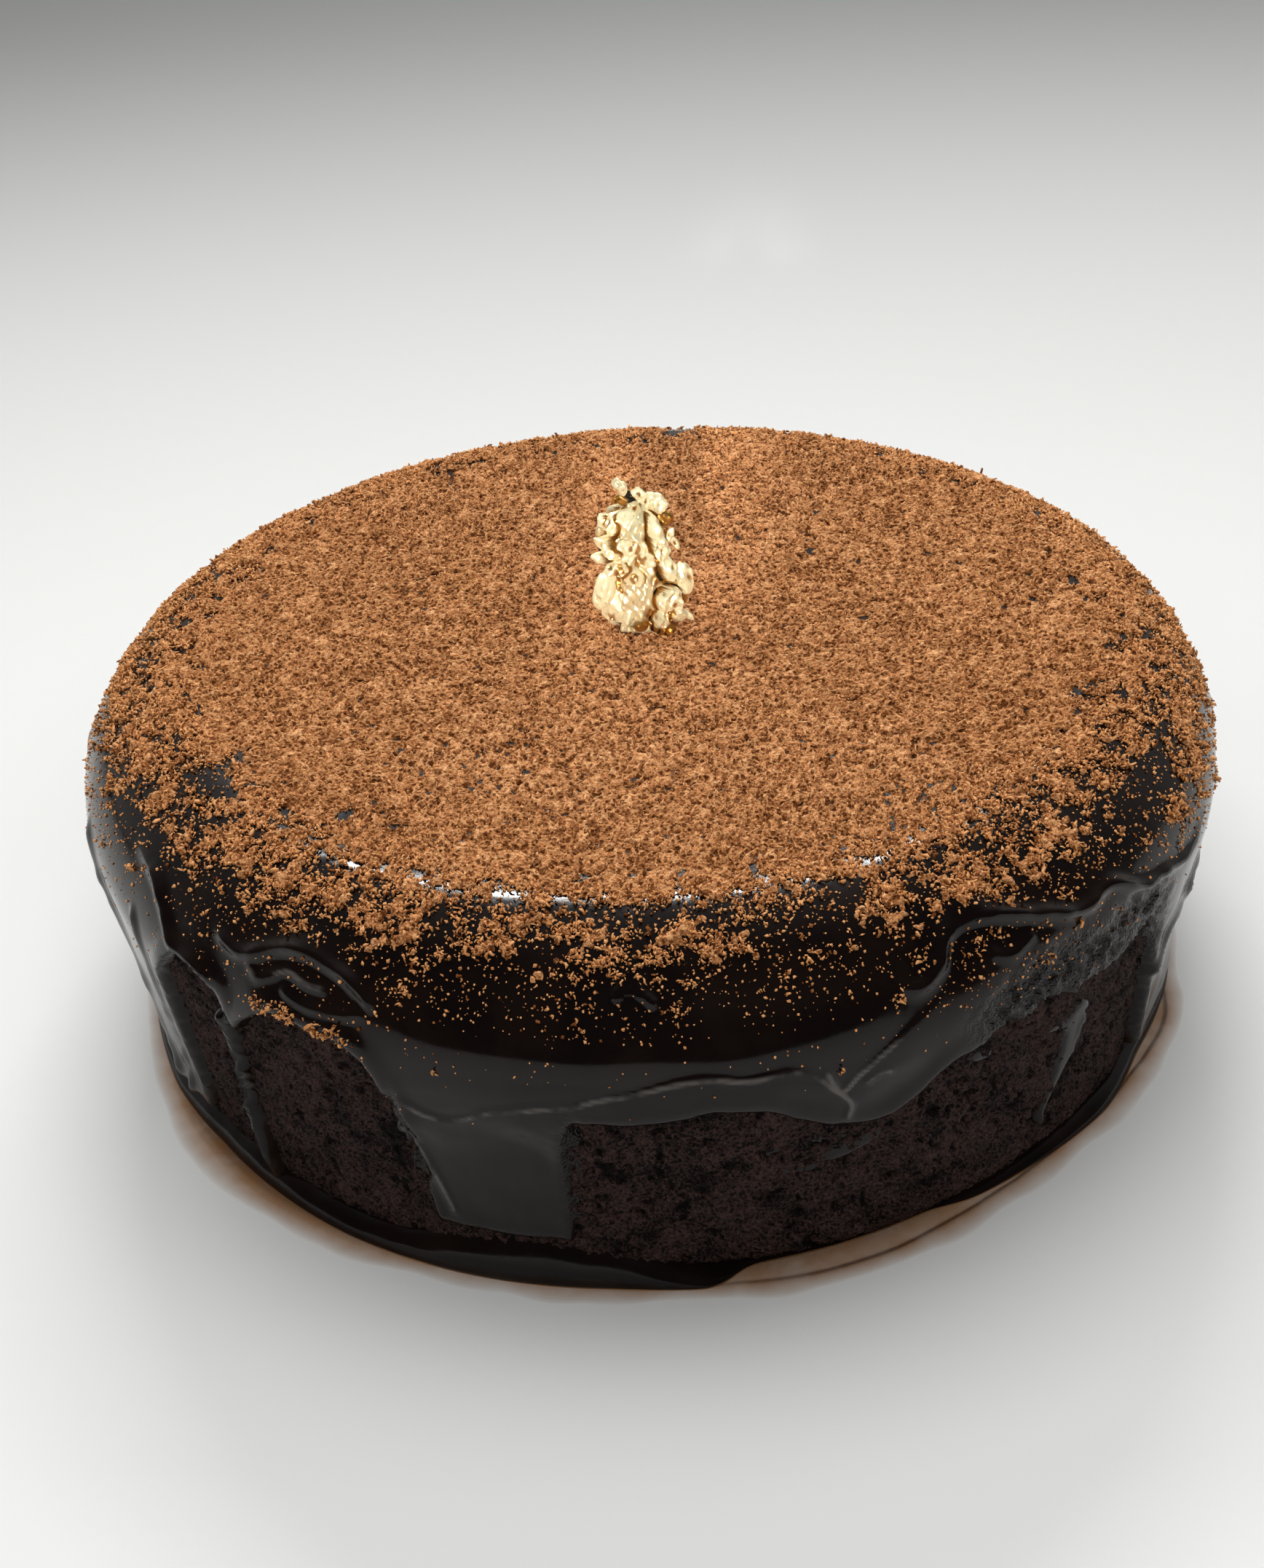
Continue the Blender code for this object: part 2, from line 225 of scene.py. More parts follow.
def ringGrid(rowCount, columnCount, firstPole, lastPole):
    # corner numbers of a grid whose columns go once round, seen from outside with the rows going down, and
    # each corner's place on a flat map. A pole is a single point above the first row or below the last
    around = np.arange(columnCount)
    after = (around + 1) % columnCount
    row = np.arange(rowCount - 1)[:, None]
    upper, lower = row * columnCount, (row + 1) * columnCount
    quads = np.stack([upper + around, lower + around, lower + after, upper + after], -1).reshape(-1, 4)
    steps = rowCount - 1 + firstPole + lastPole

    def onMap(columns, rows):  # the shares of the way across and down
        return np.stack(np.broadcast_arrays(columns / columnCount, rows / steps), -1).reshape(-1, 2)

    across, down = np.array([0, 0, 1, 1]), np.array([0, 1, 1, 0])
    flat = [onMap(around[:, None] + across, row[..., None] + firstPole + down)]
    triangles = [np.zeros((0, 3), int)]
    count = rowCount * columnCount
    if firstPole:
        triangles.append(np.stack([np.full(columnCount, count), around, after], -1))
        flat.append(onMap(around[:, None] + np.array([0.5, 0, 1]), np.array([0, 1, 1])))
    if lastPole:
        last = count - columnCount
        triangles.append(np.stack([last + around, np.full(columnCount, count + firstPole), last + after], -1))
        flat.append(onMap(around[:, None] + np.array([0, 0.5, 1]), steps - np.array([1, 0, 1])))
    return quads, np.concatenate(triangles), np.concatenate(flat)


def closedRing(rowCount, columnCount):  # the same with the last row joined back to the first
    quads, triangles, flat = ringGrid(rowCount + 1, columnCount, 0, 0)
    return quads % (rowCount * columnCount), triangles, flat


def frontSpaced(count, share):
    # angles once round, closer together at the front by this share of the mean step
    even = np.linspace(0, 2 * math.pi, count, endpoint=False)
    return np.degrees(even - share * np.sin(even))


# Shaders: sums on a wrapped socket add Math nodes

class Link:
    def __init__(self, graph, socket):
        self.graph, self.socket = graph, socket

    def math(self, operation, first, second):  # one Math node on two values or links
        return self.graph.add("ShaderNodeMath", {"operation": operation}, {0: first, 1: second})

    def __add__(self, other):
        return self.math("ADD", self, other)

    def __radd__(self, other):
        return self.math("ADD", other, self)

    def __sub__(self, other):
        return self.math("SUBTRACT", self, other)

    def __rsub__(self, other):
        return self.math("SUBTRACT", other, self)

    def __mul__(self, other):
        return self.math("MULTIPLY", self, other)

    def __rmul__(self, other):
        return self.math("MULTIPLY", other, self)

    def between(self, low, high, start=0.0, end=1.0):  # an S from start at low to end at high
        values = {"Value": self, "From Min": low, "From Max": high, "To Min": start, "To Max": end}
        return self.graph.add("ShaderNodeMapRange", {"interpolation_type": "SMOOTHSTEP"}, values)


class Nodes:
    def __init__(self, tree):
        self.tree = tree

    def add(self, kind, settings=None, values=None, out=0):
        # a node with its settings first, then its sockets' values or links
        node = self.tree.nodes.new(kind)
        for name, value in (settings or {}).items():
            setattr(node, name, value)
        for name, value in (values or {}).items():
            self.feed(node.inputs[name], value)
        return Link(self, node.outputs[out])

    def feed(self, socket, value):  # a link, a colour or a plain value
        if isinstance(value, Link):
            self.tree.links.new(value.socket, socket)
        elif isinstance(value, tuple) and len(value) == 3 and socket.type == "RGBA":
            socket.default_value = (*value, 1.0)
        else:
            socket.default_value = value


class Graph(Nodes):  # a material
    def __init__(self, name, roughness, metallic=0.0, **fixed):
        self.material = bpy.data.materials.new(name)
        self.material.use_nodes = True
        super().__init__(self.material.node_tree)
        self.shader = self.tree.nodes["Principled BSDF"]
        self.set("Roughness", roughness)
        self.set("Metallic", metallic)
        for socket, value in fixed.items():
            self.set(socket.replace("_", " "), value)
        self.place = self.add("ShaderNodeTexCoord", out="Object")

    def set(self, name, value):  # one of the shader's own sockets
        self.feed(self.shader.inputs[name], value)

    def noise(self, size, detail=2.0, roughness=0.5, stretch=(1.0, 1.0, 1.0), seed=0.0):
        # noise with features of about this size in millimetres
        moved = self.place
        if seed or stretch != (1.0, 1.0, 1.0):
            moves = {"Vector": self.place, "Location": (seed, seed, seed), "Scale": stretch}
            moved = self.add("ShaderNodeMapping", {}, moves)
        values = {"Vector": moved, "Scale": metre / size, "Detail": detail, "Roughness": roughness}
        return self.add("ShaderNodeTexNoise", {}, values)

    def ridges(self, size):
        # winding ridges: 1 along the lines where a noise passes its middle, falling to 0 between them
        middle = self.noise(size, 1.5)
        return 1 - self.add("ShaderNodeMath", {"operation": "ABSOLUTE"}, {0: (middle - 0.5) * 5.0})

    def mark(self, name):  # a number kept at each of the mesh's points
        return self.add("ShaderNodeAttribute", {"attribute_name": name}, out="Fac")

    def blend(self, share, first, second):  # a colour between two
        return self.add("ShaderNodeMix", {"data_type": "RGBA"}, {0: share, 6: first, 7: second}, out=2)

    def bump(self, height, depth, strength=1.0):  # relief of this depth in millimetres for a height of 1
        values = {"Height": height, "Distance": depth / metre, "Strength": strength}
        self.set("Normal", self.add("ShaderNodeBump", {}, values))


# The ganache: a poured skin, whose lower edge, sheets, runs, folds and torn places lie on the unrolled side

ganacheForm = {
    "columns": 850,
    "sideRows": 100,
    "frontShare": 0.45,
    "topPaths": (20, 38),  # rows on the top, over the shoulder, from where the side's start, and on the back
    "shoulderPaths": (46, 57, 6),
    "sideStart": 57.6,
    "backPaths": (76, 62, 50, 20),
    "edge": (  # angle and height of the lower edge, once round
        (-54.6, 3), (-54.2, 19), (-53.6, 23.4), (-51, 26.8), (-49, 28.6), (-46, 28.6), (-43.6, 27.2),
        (-42.6, 23), (-41.2, 23.2), (-40.2, 25), (-37.5, 27.3), (-36.2, 28), (-33, 27.4), (-29.6, 27.3),
        (-27.6, 26.2), (-26.5, 24), (-25.7, 21), (-25.2, 14), (-24.8, 5), (-9.4, 5), (-8.8, 12), (-8.6, 20),
        (-7.6, 22.5), (-3.4, 22.2), (0.5, 22.5), (3.6, 23.3), (7.2, 22.5), (9.7, 20.9), (13.5, 19.1),
        (17, 18), (19, 18.2), (21, 19.4), (22.8, 20.6), (24.6, 22.8), (27.7, 22.6), (29.5, 23.8),
        (32, 23.4), (35, 23.8), (38.4, 22.6), (43, 22), (47, 22.4), (51, 21.8), (53.5, 17), (54.4, 12),
        (54.8, 7), (55.4, 3), (79, 3), (80, 12), (82, 20), (86, 23.5), (92, 24.5), (98, 23), (104, 24),
        (112, 26), (120, 27.5), (127, 26.5), (131, 23), (133, 14), (134.5, 3), (151.5, 3), (153, 14),
        (155, 21), (160, 23.5), (166, 21.5), (172, 19.5), (178, 21), (184, 24), (190, 25), (196, 24.5),
        (199, 20), (200.5, 10), (201.5, 3), (214.5, 3), (216, 12), (218, 21), (223, 25.5), (229, 27),
        (236, 26), (243, 24), (249, 22.5), (253, 18), (254.5, 3),
    ),
    "edgeWaver": 0.25,
    "bareLift": -2.3,  # where there is none, it lies this deep, inside the sponge
    "backLift": -3.4,  # the skin's closed back
    "lipWidth": 1.1,
    "lipBead": 0.38,
    "runs": (  # from angle and height to angle and height, half width at each end
        ((-43.4, 25), (-44.2, 17.5), 1.5, 0.95),
        ((-44.2, 17.5), (-45.2, 12), 0.95, 0.95),
        ((-45.2, 12), (-45.0, 1), 0.95, 1.5),
        ((41.4, 18.2), (40.8, 13.0), 2.2, 1.7),
        ((40.8, 13.0), (38.6, 5.8), 1.7, 1.1),
        ((40.6, 17.6), (37.0, 18.6), 1.5, 0.9),
        ((98.0, 26), (98.8, 8), 1.7, 2.1),
        ((104.5, 25), (104.9, 17), 1.2, 1.5),
        ((188.0, 27), (187.2, 7), 1.7, 2.1),
        ((245.0, 27), (244.2, 10), 1.6, 2.0),
        ((231.0, 28), (231.6, 19), 1.2, 1.6),
    ),
    "islands": (  # glaze left on the sponge: angle, height, half width, half height, tilt
        (15.5, 14.6, 4.6, 1.3, 0.30),
        (11.5, 13.2, 3.0, 0.8, 0.05),
        (28.2, 20.6, 2.8, 1.0, -0.30),
        (113.0, 12.0, 4.5, 1.4, -0.15),
        (176.0, 10.0, 3.6, 1.3, 0.1),
        (226.0, 14.0, 4.8, 1.5, 0.2),
    ),
    "islandLift": -1.02,
    "softBare": -1.5,  # as bareLift, round torn places, thin sheets and islands, for flatter rims
    "torn": (  # angle, height, half width, half height: thin, pitted ganache that the crumb shows through
        (35.5, 26.4, 8.5, 3.4),
        (46.0, 25.2, 7.5, 3.8),
        (50.0, 21.5, 4.6, 5.0),
        (-8.8, 13.0, 1.4, 9.0),
        (-24.8, 12.0, 1.2, 10.0),
        (128.0, 24.0, 9.0, 5.0),
        (205.0, 20.0, 4.0, 9.0),
    ),
    "thin": (  # angle, height, half width, half height, lift: smooth thin sheets
        (-17.0, 11.5, 8.4, 10.4, -0.55),
        (40.8, 12.6, 3.4, 9.0, -1.00),
        (37.6, 15.0, 2.0, 6.5, -1.10),
        (143.0, 10.0, 8.0, 11.0, -0.5),
        (208.0, 11.0, 6.0, 11.0, -0.5),
    ),
    "folds": (  # a rope-like ridge along a line of angles and heights: the line, half width, height and step
        (((-25.6, 23.8), (-23.7, 23), (-22.3, 21.9), (-20.4, 21.4), (-18.4, 21.9), (-16, 23.4), (-12.5, 24.5),
          (-9.5, 25), (-6.5, 26.2), (-3.5, 26.9), (0, 27.8), (3, 28), (6, 27.5), (9.6, 27.7), (11.7, 26.6),
          (13.7, 24.3), (15.2, 25.8), (17, 27.2), (20, 29), (24, 30.6)), 0.40, 0.20, 0.34),
        (((12.2, 27.4), (13.2, 24.9), (14.6, 22.6), (14.1, 20.6)), 0.35, 0.25, 0.0),
        (((15.6, 24.6), (17.2, 25.6), (18.3, 25.2)), 0.35, 0.20, 0.0),
        (((19, 33.3), (21, 32.1), (23.4, 32.8), (24.9, 34.5), (27, 35.2), (30, 34.9), (35, 33.4), (40, 31.8),
          (44, 32.2), (48, 29.9), (53, 28.8), (58, 27.8), (66, 28.6)), 0.60, 0.80, -0.15),
        (((-25.0, 31.6), (-20, 30.9), (-14, 30.6), (-8, 30.3), (-2, 30.6), (4, 30.1), (10, 30.7), (15, 31.4),
          (20, 32.6)), 0.46, 0.03, 0.15),
        (((28.5, 32.6), (31, 31.6), (34, 32.4)), 0.5, 0.3, 0.0),
        (((-5.0, 34.4), (-3.6, 35.2), (-2.2, 34.8), (-1.0, 34.0)), 0.45, 0.50, 0.0),
        (((-62, 34.5), (-55, 33.5), (-49.6, 30), (-46.2, 29.4), (-43.6, 26.6), (-42.9, 21.9), (-44.2, 16),
          (-45.2, 12), (-44.8, 6), (-44.8, 2)), 0.7, 0.60, 0.0),
        (((-45.5, 33.7), (-42, 32.7), (-40, 32.8), (-38.4, 33.6), (-36.3, 34.3), (-34, 34.6), (-31.9, 34.4),
          (-29.5, 34), (-28, 33.5), (-26.6, 32.7), (-26.5, 31.6)), 0.60, 0.70, -0.10),
        (((-26.5, 31.6), (-28, 31.1), (-30.1, 30.8), (-33.4, 30.8), (-35.8, 31.6)), 0.45, 0.28, 0.0),
        (((-40, 32.2), (-38.4, 31.4), (-37, 31.9), (-35, 32.8), (-32.5, 32.4), (-30, 32.6)), 0.4, 0.25, 0.0),
        (((-25.9, 22.4), (-25.2, 19), (-24.6, 14), (-23.4, 9), (-22.8, 6)), 0.5, 0.28, 0.0),
        (((-26.6, 22.0), (-24.0, 17.5), (-22.4, 12), (-21.4, 7)), 0.4, 0.20, 0.0),
        (((43, 17.8), (42.4, 16), (42.3, 12.5), (42.2, 10.5), (41.7, 8.3), (40.9, 6.2), (38.7, 5.8)),
         0.35, 0.38, 0.0),
        (((66, 24), (64.7, 18.7), (58.6, 18.3), (55.4, 15.5), (53.4, 13.2), (53.2, 9.5), (54.2, 5.7),
          (52.6, 4)), 0.6, 0.55, 0.0),
        (((-76, 30), (-70, 24), (-66.5, 16), (-64, 8), (-62.5, 2)), 0.9, 0.45, 0.0),
        (((-58.5, 30), (-57.5, 24), (-58, 15), (-59.5, 7), (-60, 2)), 0.6, 0.4, 0.0),
        (((-92, 31), (-88, 25), (-86, 15), (-86.5, 3)), 0.9, 0.4, 0.0),
        (((78, 31), (88, 28.5), (99, 29.8), (110, 31), (121, 32.3), (131, 31), (138, 29), (146, 30)),
         0.6, 0.4, 0.2),
        (((139, 28), (138.2, 20), (139.5, 11), (140, 3)), 0.6, 0.35, 0.0),
        (((150, 30), (158, 29), (167, 27), (175, 26.6), (185, 29), (196, 30), (206, 28.6)), 0.55, 0.3, 0.3),
        (((160, 35), (166, 33.8), (173, 34.6), (178, 33.6), (184, 34.4)), 0.6, 0.4, -0.1),
        (((212, 30), (220, 31), (229, 32), (238, 30.8), (247, 29), (256, 28.6), (264, 30)), 0.55, 0.35, 0.3),
        (((209, 27), (207.5, 18), (208.5, 9), (208, 3)), 0.6, 0.35, 0.0),
    ),
}


def curveOnce(points, spread):
    # a closed line through the points, read at every quarter degree and rounded by a running bell average
    angles = np.arange(0, 360, 0.25)
    values = np.interp(angles, *np.array(points, float).T, period=360)
    bell = hump(np.arange(-12, 13) * 0.25, spread)
    doubled = np.concatenate([values[-12:], values, values[:12]])
    return angles, np.convolve(doubled, bell / bell.sum(), mode="valid")


def inside(angle, path, middle, height, halfWidth, halfHeight, soft=0.35):
    # 1 within an oval round a place, fading over this share of its size
    size = np.hypot(apart(angle, middle) / halfWidth, (path - pathAt(height)) / halfHeight)
    return 1 - smooth(size, 1 - soft, 1 + soft)


def covered(angle, path, points):
    # how far a place is inside the ganache's outline, in millimetres, negative where the sponge is bare: the
    # nearest column beside it in which the edge has passed its path
    angles, heights = curveOnce(ganacheForm["edge"], 0.45)
    edge = pathAt(heights) + ganacheForm["edgeWaver"] * roundNoise(angles, 57, 5.0, 17, 3)
    within = without = 6.0
    for shift in np.arange(-6, 6.01, 0.25):
        below = np.interp(angle + shift, angles, edge, period=360) - path
        within = np.minimum(within, np.hypot(shift, np.maximum(below, 0)))
        without = np.minimum(without, np.hypot(shift, np.maximum(-below, 0)))
    into = within - without
    for (startAngle, startHeight), (endAngle, endHeight), startHalf, endHalf in ganacheForm["runs"]:
        line = np.array([(startAngle, pathAt(startHeight)), (endAngle, pathAt(endHeight))])
        gap, _, along = nearLine(angle, path, line)
        into = merged(into, startHalf + (endHalf - startHalf) * along - gap, 0.8)
    for middle, height, halfWidth, halfHeight, tilt in ganacheForm["islands"]:
        down = path - pathAt(height) + tilt * apart(angle, middle)
        size = np.hypot(apart(angle, middle) / halfWidth, down / halfHeight)
        into = np.maximum(into, (1 - size) * halfHeight * 1.4)
    ragged = 0.25 + 1.6 * tornness(angle, path)
    return into + ragged * clouds(points, 2.2, 31, 3)


def merged(first, second, width):
    # the larger of two distances, with the corner between them rounded over this width
    share = np.clip(0.5 + 0.5 * (first - second) / width, 0, 1)
    return second + (first - second) * share + width * share * (1 - share)


def tornness(angle, path):  # 1 in the torn places' ovals, fading to 0 round them
    total = 0
    for middle, height, halfWidth, halfHeight in ganacheForm["torn"]:
        total = np.maximum(total, inside(angle, path, middle, height, halfWidth, halfHeight, 0.5))
    return total


def swell(points):  # the poured top's gentle unevenness
    return 0.10 * cloud(points, 14.0, 3) + 0.05 * cloud(points, 5.0, 4)


def ganacheLift(angle, path):
    # the skin's lift: a gentle swell, thinner in the sheets, with a bead at the lip, ridges and steps at the
    # folds, streaks and pits where it is torn, and a rounded drop to nothing outside its outline. Also how
    # far inside the outline a place is, how near to a rope, and how near to a fine crease, which sets the
    # painted highlight along it
    points = onCake(angle, path, 0.0)
    into = covered(angle, path, points)
    torn = tornness(angle, path)
    long = points * np.array([1.0, 1.0, 0.16])
    low = smooth(path, pathAt(30), pathAt(14))
    lift = swell(points) + low * (0.28 * cloud(long, 3.2, 5) - 0.30)
    bare = ganacheForm["bareLift"] + torn * (ganacheForm["softBare"] - ganacheForm["bareLift"])
    beaded = smooth(path, pathAt(34), pathAt(29)) * (1 - 0.9 * torn)
    for middle, height, halfWidth, halfHeight, level in ganacheForm["thin"]:
        share = inside(angle, path, middle, height, halfWidth, halfHeight, 0.2)
        sheet = level + 0.05 * cloud(points, 3.0, 6) + 0.04 * cloud(long, 1.3, 7)
        lift = lift + share * (sheet - lift)
        bare = bare + share * (ganacheForm["softBare"] - bare)
        beaded = beaded * (1 - 0.8 * share)
    for middle, height, halfWidth, halfHeight, _ in ganacheForm["islands"]:
        share = inside(angle, path, middle, height, 2.0 * halfWidth, 3.0 * halfHeight, 0.2)
        lift = lift + share * (ganacheForm["islandLift"] + 0.16 * cloud(points, 1.2, 10) - lift)
        bare = bare + share * (ganacheForm["softBare"] - bare)
        beaded = beaded * (1 - share)
    lift = lift + ganacheForm["lipBead"] * beaded * hump(into - 1.6, 1.2)
    near = creaseGlint = 0
    for line, halfWidth, size, step in ganacheForm["folds"]:
        gap, side, along = nearLine(angle, path, roundedLine(line, 5))
        ends = smooth(along, 0, 0.10) * (1 - smooth(along, 0.90, 1.0))
        rope = 1 + 0.45 * cloud(points, 1.8, 8)
        lift = lift + ends * size * rope * hump(gap, halfWidth)
        lift = lift + ends * step * smooth(side * gap, -0.5, 0.9) * hump(np.maximum(gap - 1.5, 0), 2.4)
        near = np.maximum(near, ends * hump(gap, halfWidth * 1.5))
        if halfWidth < 0.45:
            creaseGlint = np.maximum(creaseGlint, ends * hump(gap, 0.30))
    slanted = points - 0.2 * points * np.array([1, 1, 0]) - 0.5 * points[..., :1] * np.array([0, 0, 1])
    strands = curly(slanted * np.array([0.6, 0.6, 1.0]), 1.2, 45) + 0.8 * curly(points, 0.75, 46)
    pits = smooth(clouds(points, 0.9, 41, 2), 0.0, 0.35)
    lift = lift + torn * (-0.72 + 0.26 * strands - 0.38 * pits + 0.16 * cloud(points, 2.5, 9))
    return bare + (lift - bare) * smooth(into, -0.1, ganacheForm["lipWidth"]), into, near, creaseGlint


def makeGanache(material):
    # rows go over the top, closely down the side, and back inside the sponge's form
    side = np.linspace(ganacheForm["sideStart"], fullPath - 1.2, ganacheForm["sideRows"])
    shell = np.concatenate([ganacheForm["topPaths"], np.linspace(*ganacheForm["shoulderPaths"]), side])
    back = np.array([fullPath - 3, *ganacheForm["backPaths"]])
    angle = frontSpaced(ganacheForm["columns"], ganacheForm["frontShare"])[None, :]
    lift, _, _, creaseGlint = ganacheLift(angle, shell[:, None])
    torn, line = np.zeros((2, len(shell) + len(back), ganacheForm["columns"]))
    torn[: len(shell)] = tornness(angle, shell[:, None])
    line[: len(shell)] = creaseGlint
    outer = onCake(angle, shell[:, None], lift)
    inner = onCake(angle, back[:, None], ganacheForm["backLift"])
    rows = np.concatenate([outer, inner])
    poles = np.concatenate([onCake(0.0, np.zeros(1), lift) for lift in (0.0, ganacheForm["backLift"])])
    points = np.concatenate([rows.reshape(-1, 3), poles])
    quads, triangles, flat = ringGrid(len(rows), ganacheForm["columns"], 1, 1)
    marks = {"torn": np.append(torn.ravel(), (0, 0)), "creaseGlint": np.append(line.ravel(), (0, 0))}
    return makePiece("ganacheSkin", points, quads, triangles, material, ["ganache"], flat, marks)


ganacheLook = {
    "colour": (0.0044, 0.0027, 0.0024),
    "warm": (0.0074, 0.0040, 0.0030),
    "creaseGlint": (0.085, 0.076, 0.070),  # painted highlight along the fine creases, standing in for their glints
    "roughness": 0.11,
}


def ganacheFinish():  # dark and glossy, streaked down the side, a painted highlight on the creases, rougher where torn
    graph = Graph("pouredGanache", ganacheLook["roughness"], IOR=1.33)
    patches = graph.noise(6.0, 3.0)
    torn = graph.mark("torn")
    colour = graph.blend(patches.between(0.35, 0.7), ganacheLook["colour"], ganacheLook["warm"])
    # painted highlight: the creases are drawn pale, in broken stretches
    creaseHighlight = graph.mark("creaseGlint").between(0.25, 1.0) * graph.noise(2.4, 2.0).between(0.30, 0.60)
    graph.set("Base Color", graph.blend(creaseHighlight, colour, ganacheLook["creaseGlint"]))
    streaks = graph.noise(1.3, 3.0, 0.6, (1.0, 1.0, 0.22))
    rough = ganacheLook["roughness"] + 0.10 * streaks.between(0.45, 0.8) + 0.05 * patches
    graph.set("Roughness", rough + 0.16 * torn + 0.2 * creaseHighlight)
    ripples = graph.noise(0.9, 2.0, 0.5, (1.0, 1.0, 0.5), 3.0)
    web = graph.ridges(0.55)
    graph.bump(ripples * 0.012 + torn * web * 0.12, 1.0)
    return graph.material


# The sponge: crumb with pores, bare between the runs

spongeForm = {
    "columns": 900,
    "sideRows": 98,
    "frontShare": 0.45,
    "topPaths": (24, 44, 50, 55, 59),  # rows under the ganache's top, and where the side's start
    "sideStart": 61.0,
    "baseShares": (0.985, 0.5),  # rows on the flat base, as shares of the last row's reach
    "lift": -1.37,
    "coveredLift": -2.2,  # under the ganache's top
    "undercut": 0.9,
}


def spongeLift(angle, path):
    # crumb: winding walls of two sizes with hollows between, more open in places. Also how deep in a pore,
    # for painted shade
    points = onCake(angle, path, 0.0)
    bent = points + 0.4 * np.stack([cloud(points, 1.2, seed) for seed in (62, 63, 64)], axis=-1)
    crumb = 0.20 * curly(bent, 1.3, 51) + 0.30 * curly(bent, 0.6, 55) + 0.22 * lumps(points, 0.5, 57)
    pores = smooth(clouds(points, 0.9, 58, 2) + 0.25 * cloud(points, 6.0, 60), 0.25, 0.55)
    lower = spongeForm["undercut"] * smooth(path, fullPath - 2.4, fullPath)
    return spongeForm["lift"] + crumb - 0.45 * pores + 0.16 * cloud(points, 6.0, 59) - lower, pores


def makeSponge(material):
    # rows go sparsely over the covered top, closely down the side, and in under the base
    side = np.linspace(spongeForm["sideStart"], fullPath - 0.35, spongeForm["sideRows"])
    shell = np.concatenate([spongeForm["topPaths"], side])
    angle = frontSpaced(spongeForm["columns"], spongeForm["frontShare"])[None, :]
    lift, pores = spongeLift(angle, shell[:, None])
    shown = smooth(shell, 58, 62)[:, None]
    under = spongeForm["coveredLift"]
    outer = onCake(angle, shell[:, None], under + shown * (lift - under))
    outer[..., 2] = np.maximum(outer[..., 2], 0.2)
    base = outer[-1] * np.array(spongeForm["baseShares"])[:, None, None]
    base[..., 2] = 0.0
    rows = np.concatenate([outer, base])
    poles = np.concatenate([onCake(0.0, np.zeros(1), under), np.zeros((1, 3))])
    points = np.concatenate([rows.reshape(-1, 3), poles])
    quads, triangles, flat = ringGrid(len(rows), spongeForm["columns"], 1, 1)
    marks = {"poreShade": np.append(pores.ravel(), np.zeros(len(points) - pores.size))}
    return makePiece("spongeCrumb", points, quads, triangles, material, ["sponge"], flat, marks)


spongeLook = {
    # the darkest colour is painted shade for the pores and hollows
    "paintedShade": (0.0030, 0.0015, 0.0013),
    "middle": (0.0056, 0.0030, 0.0025),
    "light": (0.064, 0.0350, 0.0290),
}


def spongeFinish():  # winding crumb walls and grains, with painted shade in the hollows between
    graph = Graph("chocolateCrumb", 0.8, IOR=1.25)
    worms = graph.ridges(0.5)
    grains = graph.noise(0.28, 2.0, 0.7)
    patches = graph.noise(4.0, 3.0)
    tone = worms * 0.35 + grains * 0.6 + patches * 0.4
    colour = graph.blend(tone.between(0.50, 1.05), spongeLook["middle"], spongeLook["light"])
    # painted shade: the pores and noise-placed hollows are drawn near black
    hollowShade = graph.mark("poreShade") * 0.8 + (0.42 - patches * 0.5 - worms * 0.12).between(0.08, 0.22) * 0.9
    graph.set("Base Color", graph.blend(hollowShade.between(0.0, 0.9), colour, spongeLook["paintedShade"]))
    graph.bump(worms * 0.20 + grains * 0.14, 1.0)
    return graph.material


# The foot: ganache settled round the base, and the thin syrup that has crept out from under it

footForm = {
    "columns": 900,
    "rows": 26,
    "outline": (  # angle, height and reach, once round
        (-72, 1.4, 56.9), (-66, 1.6, 57.0), (-55, 2.7, 56.4), (-45, 2.8, 56.7), (-35, 2.4, 57.1),
        (-27, 2.8, 57.2), (-22, 4.6, 57.2), (-14, 6.2, 57.1), (-7, 5.2, 57.0), (-2, 2.4, 57.2),
        (3, 0.8, 57.5), (6, 0.3, 55.0), (26, 0.3, 54.6), (30, 0.8, 55.6), (37, 1.1, 56.0), (50, 1.8, 57.0),
        (60, 1.9, 56.2), (72, 1.6, 57.0), (90, 1.3, 57.4), (110, 1.0, 56.9), (130, 1.8, 57.6),
        (150, 2.6, 57.9), (165, 3.2, 57.6), (185, 1.2, 57.0), (200, 1.9, 57.7), (225, 1.1, 56.8),
        (250, 2.0, 57.6), (270, 1.3, 57.2),
    ),
}


def footOutline(angle):  # the foot's height at the sponge, and its reach on the plate
    table = np.array(footForm["outline"])
    return [np.interp(angle, *curveOnce(table[:, (0, column)], 1.6), period=360) for column in (1, 2)]


def makeFoot(material):
    # a section carried round: up the sponge inside, then a rounded back down to the plate
    angle = np.linspace(0, 360, footForm["columns"], endpoint=False)
    height, reach = footOutline(angle)
    inner = reach - 2.6 - 0.15 * height
    turn = np.radians(np.linspace(90, 0, footForm["rows"]))[:, None]
    radius = inner + (reach - inner) * np.cos(turn) ** 0.85
    level = height * np.sin(turn) ** 0.9
    radius = radius - 0.55 * (1 - np.cos(turn)) * np.clip(height - 2.5, 0, 3)
    radius = radius + 0.12 * cloud(placed(angle, radius, level), 2.4, 61) * np.sin(turn)
    radius = np.concatenate([[inner - 0.4], radius, [inner - 0.4]])
    level = np.concatenate([[0.9 * height], level, [0 * height]])
    points = placed(angle, radius, level).reshape(-1, 3)
    quads, triangles, flat = closedRing(len(radius), footForm["columns"])
    return makePiece("ganachePool", points, quads, triangles, material, ["ganache_foot"],
                     flat)


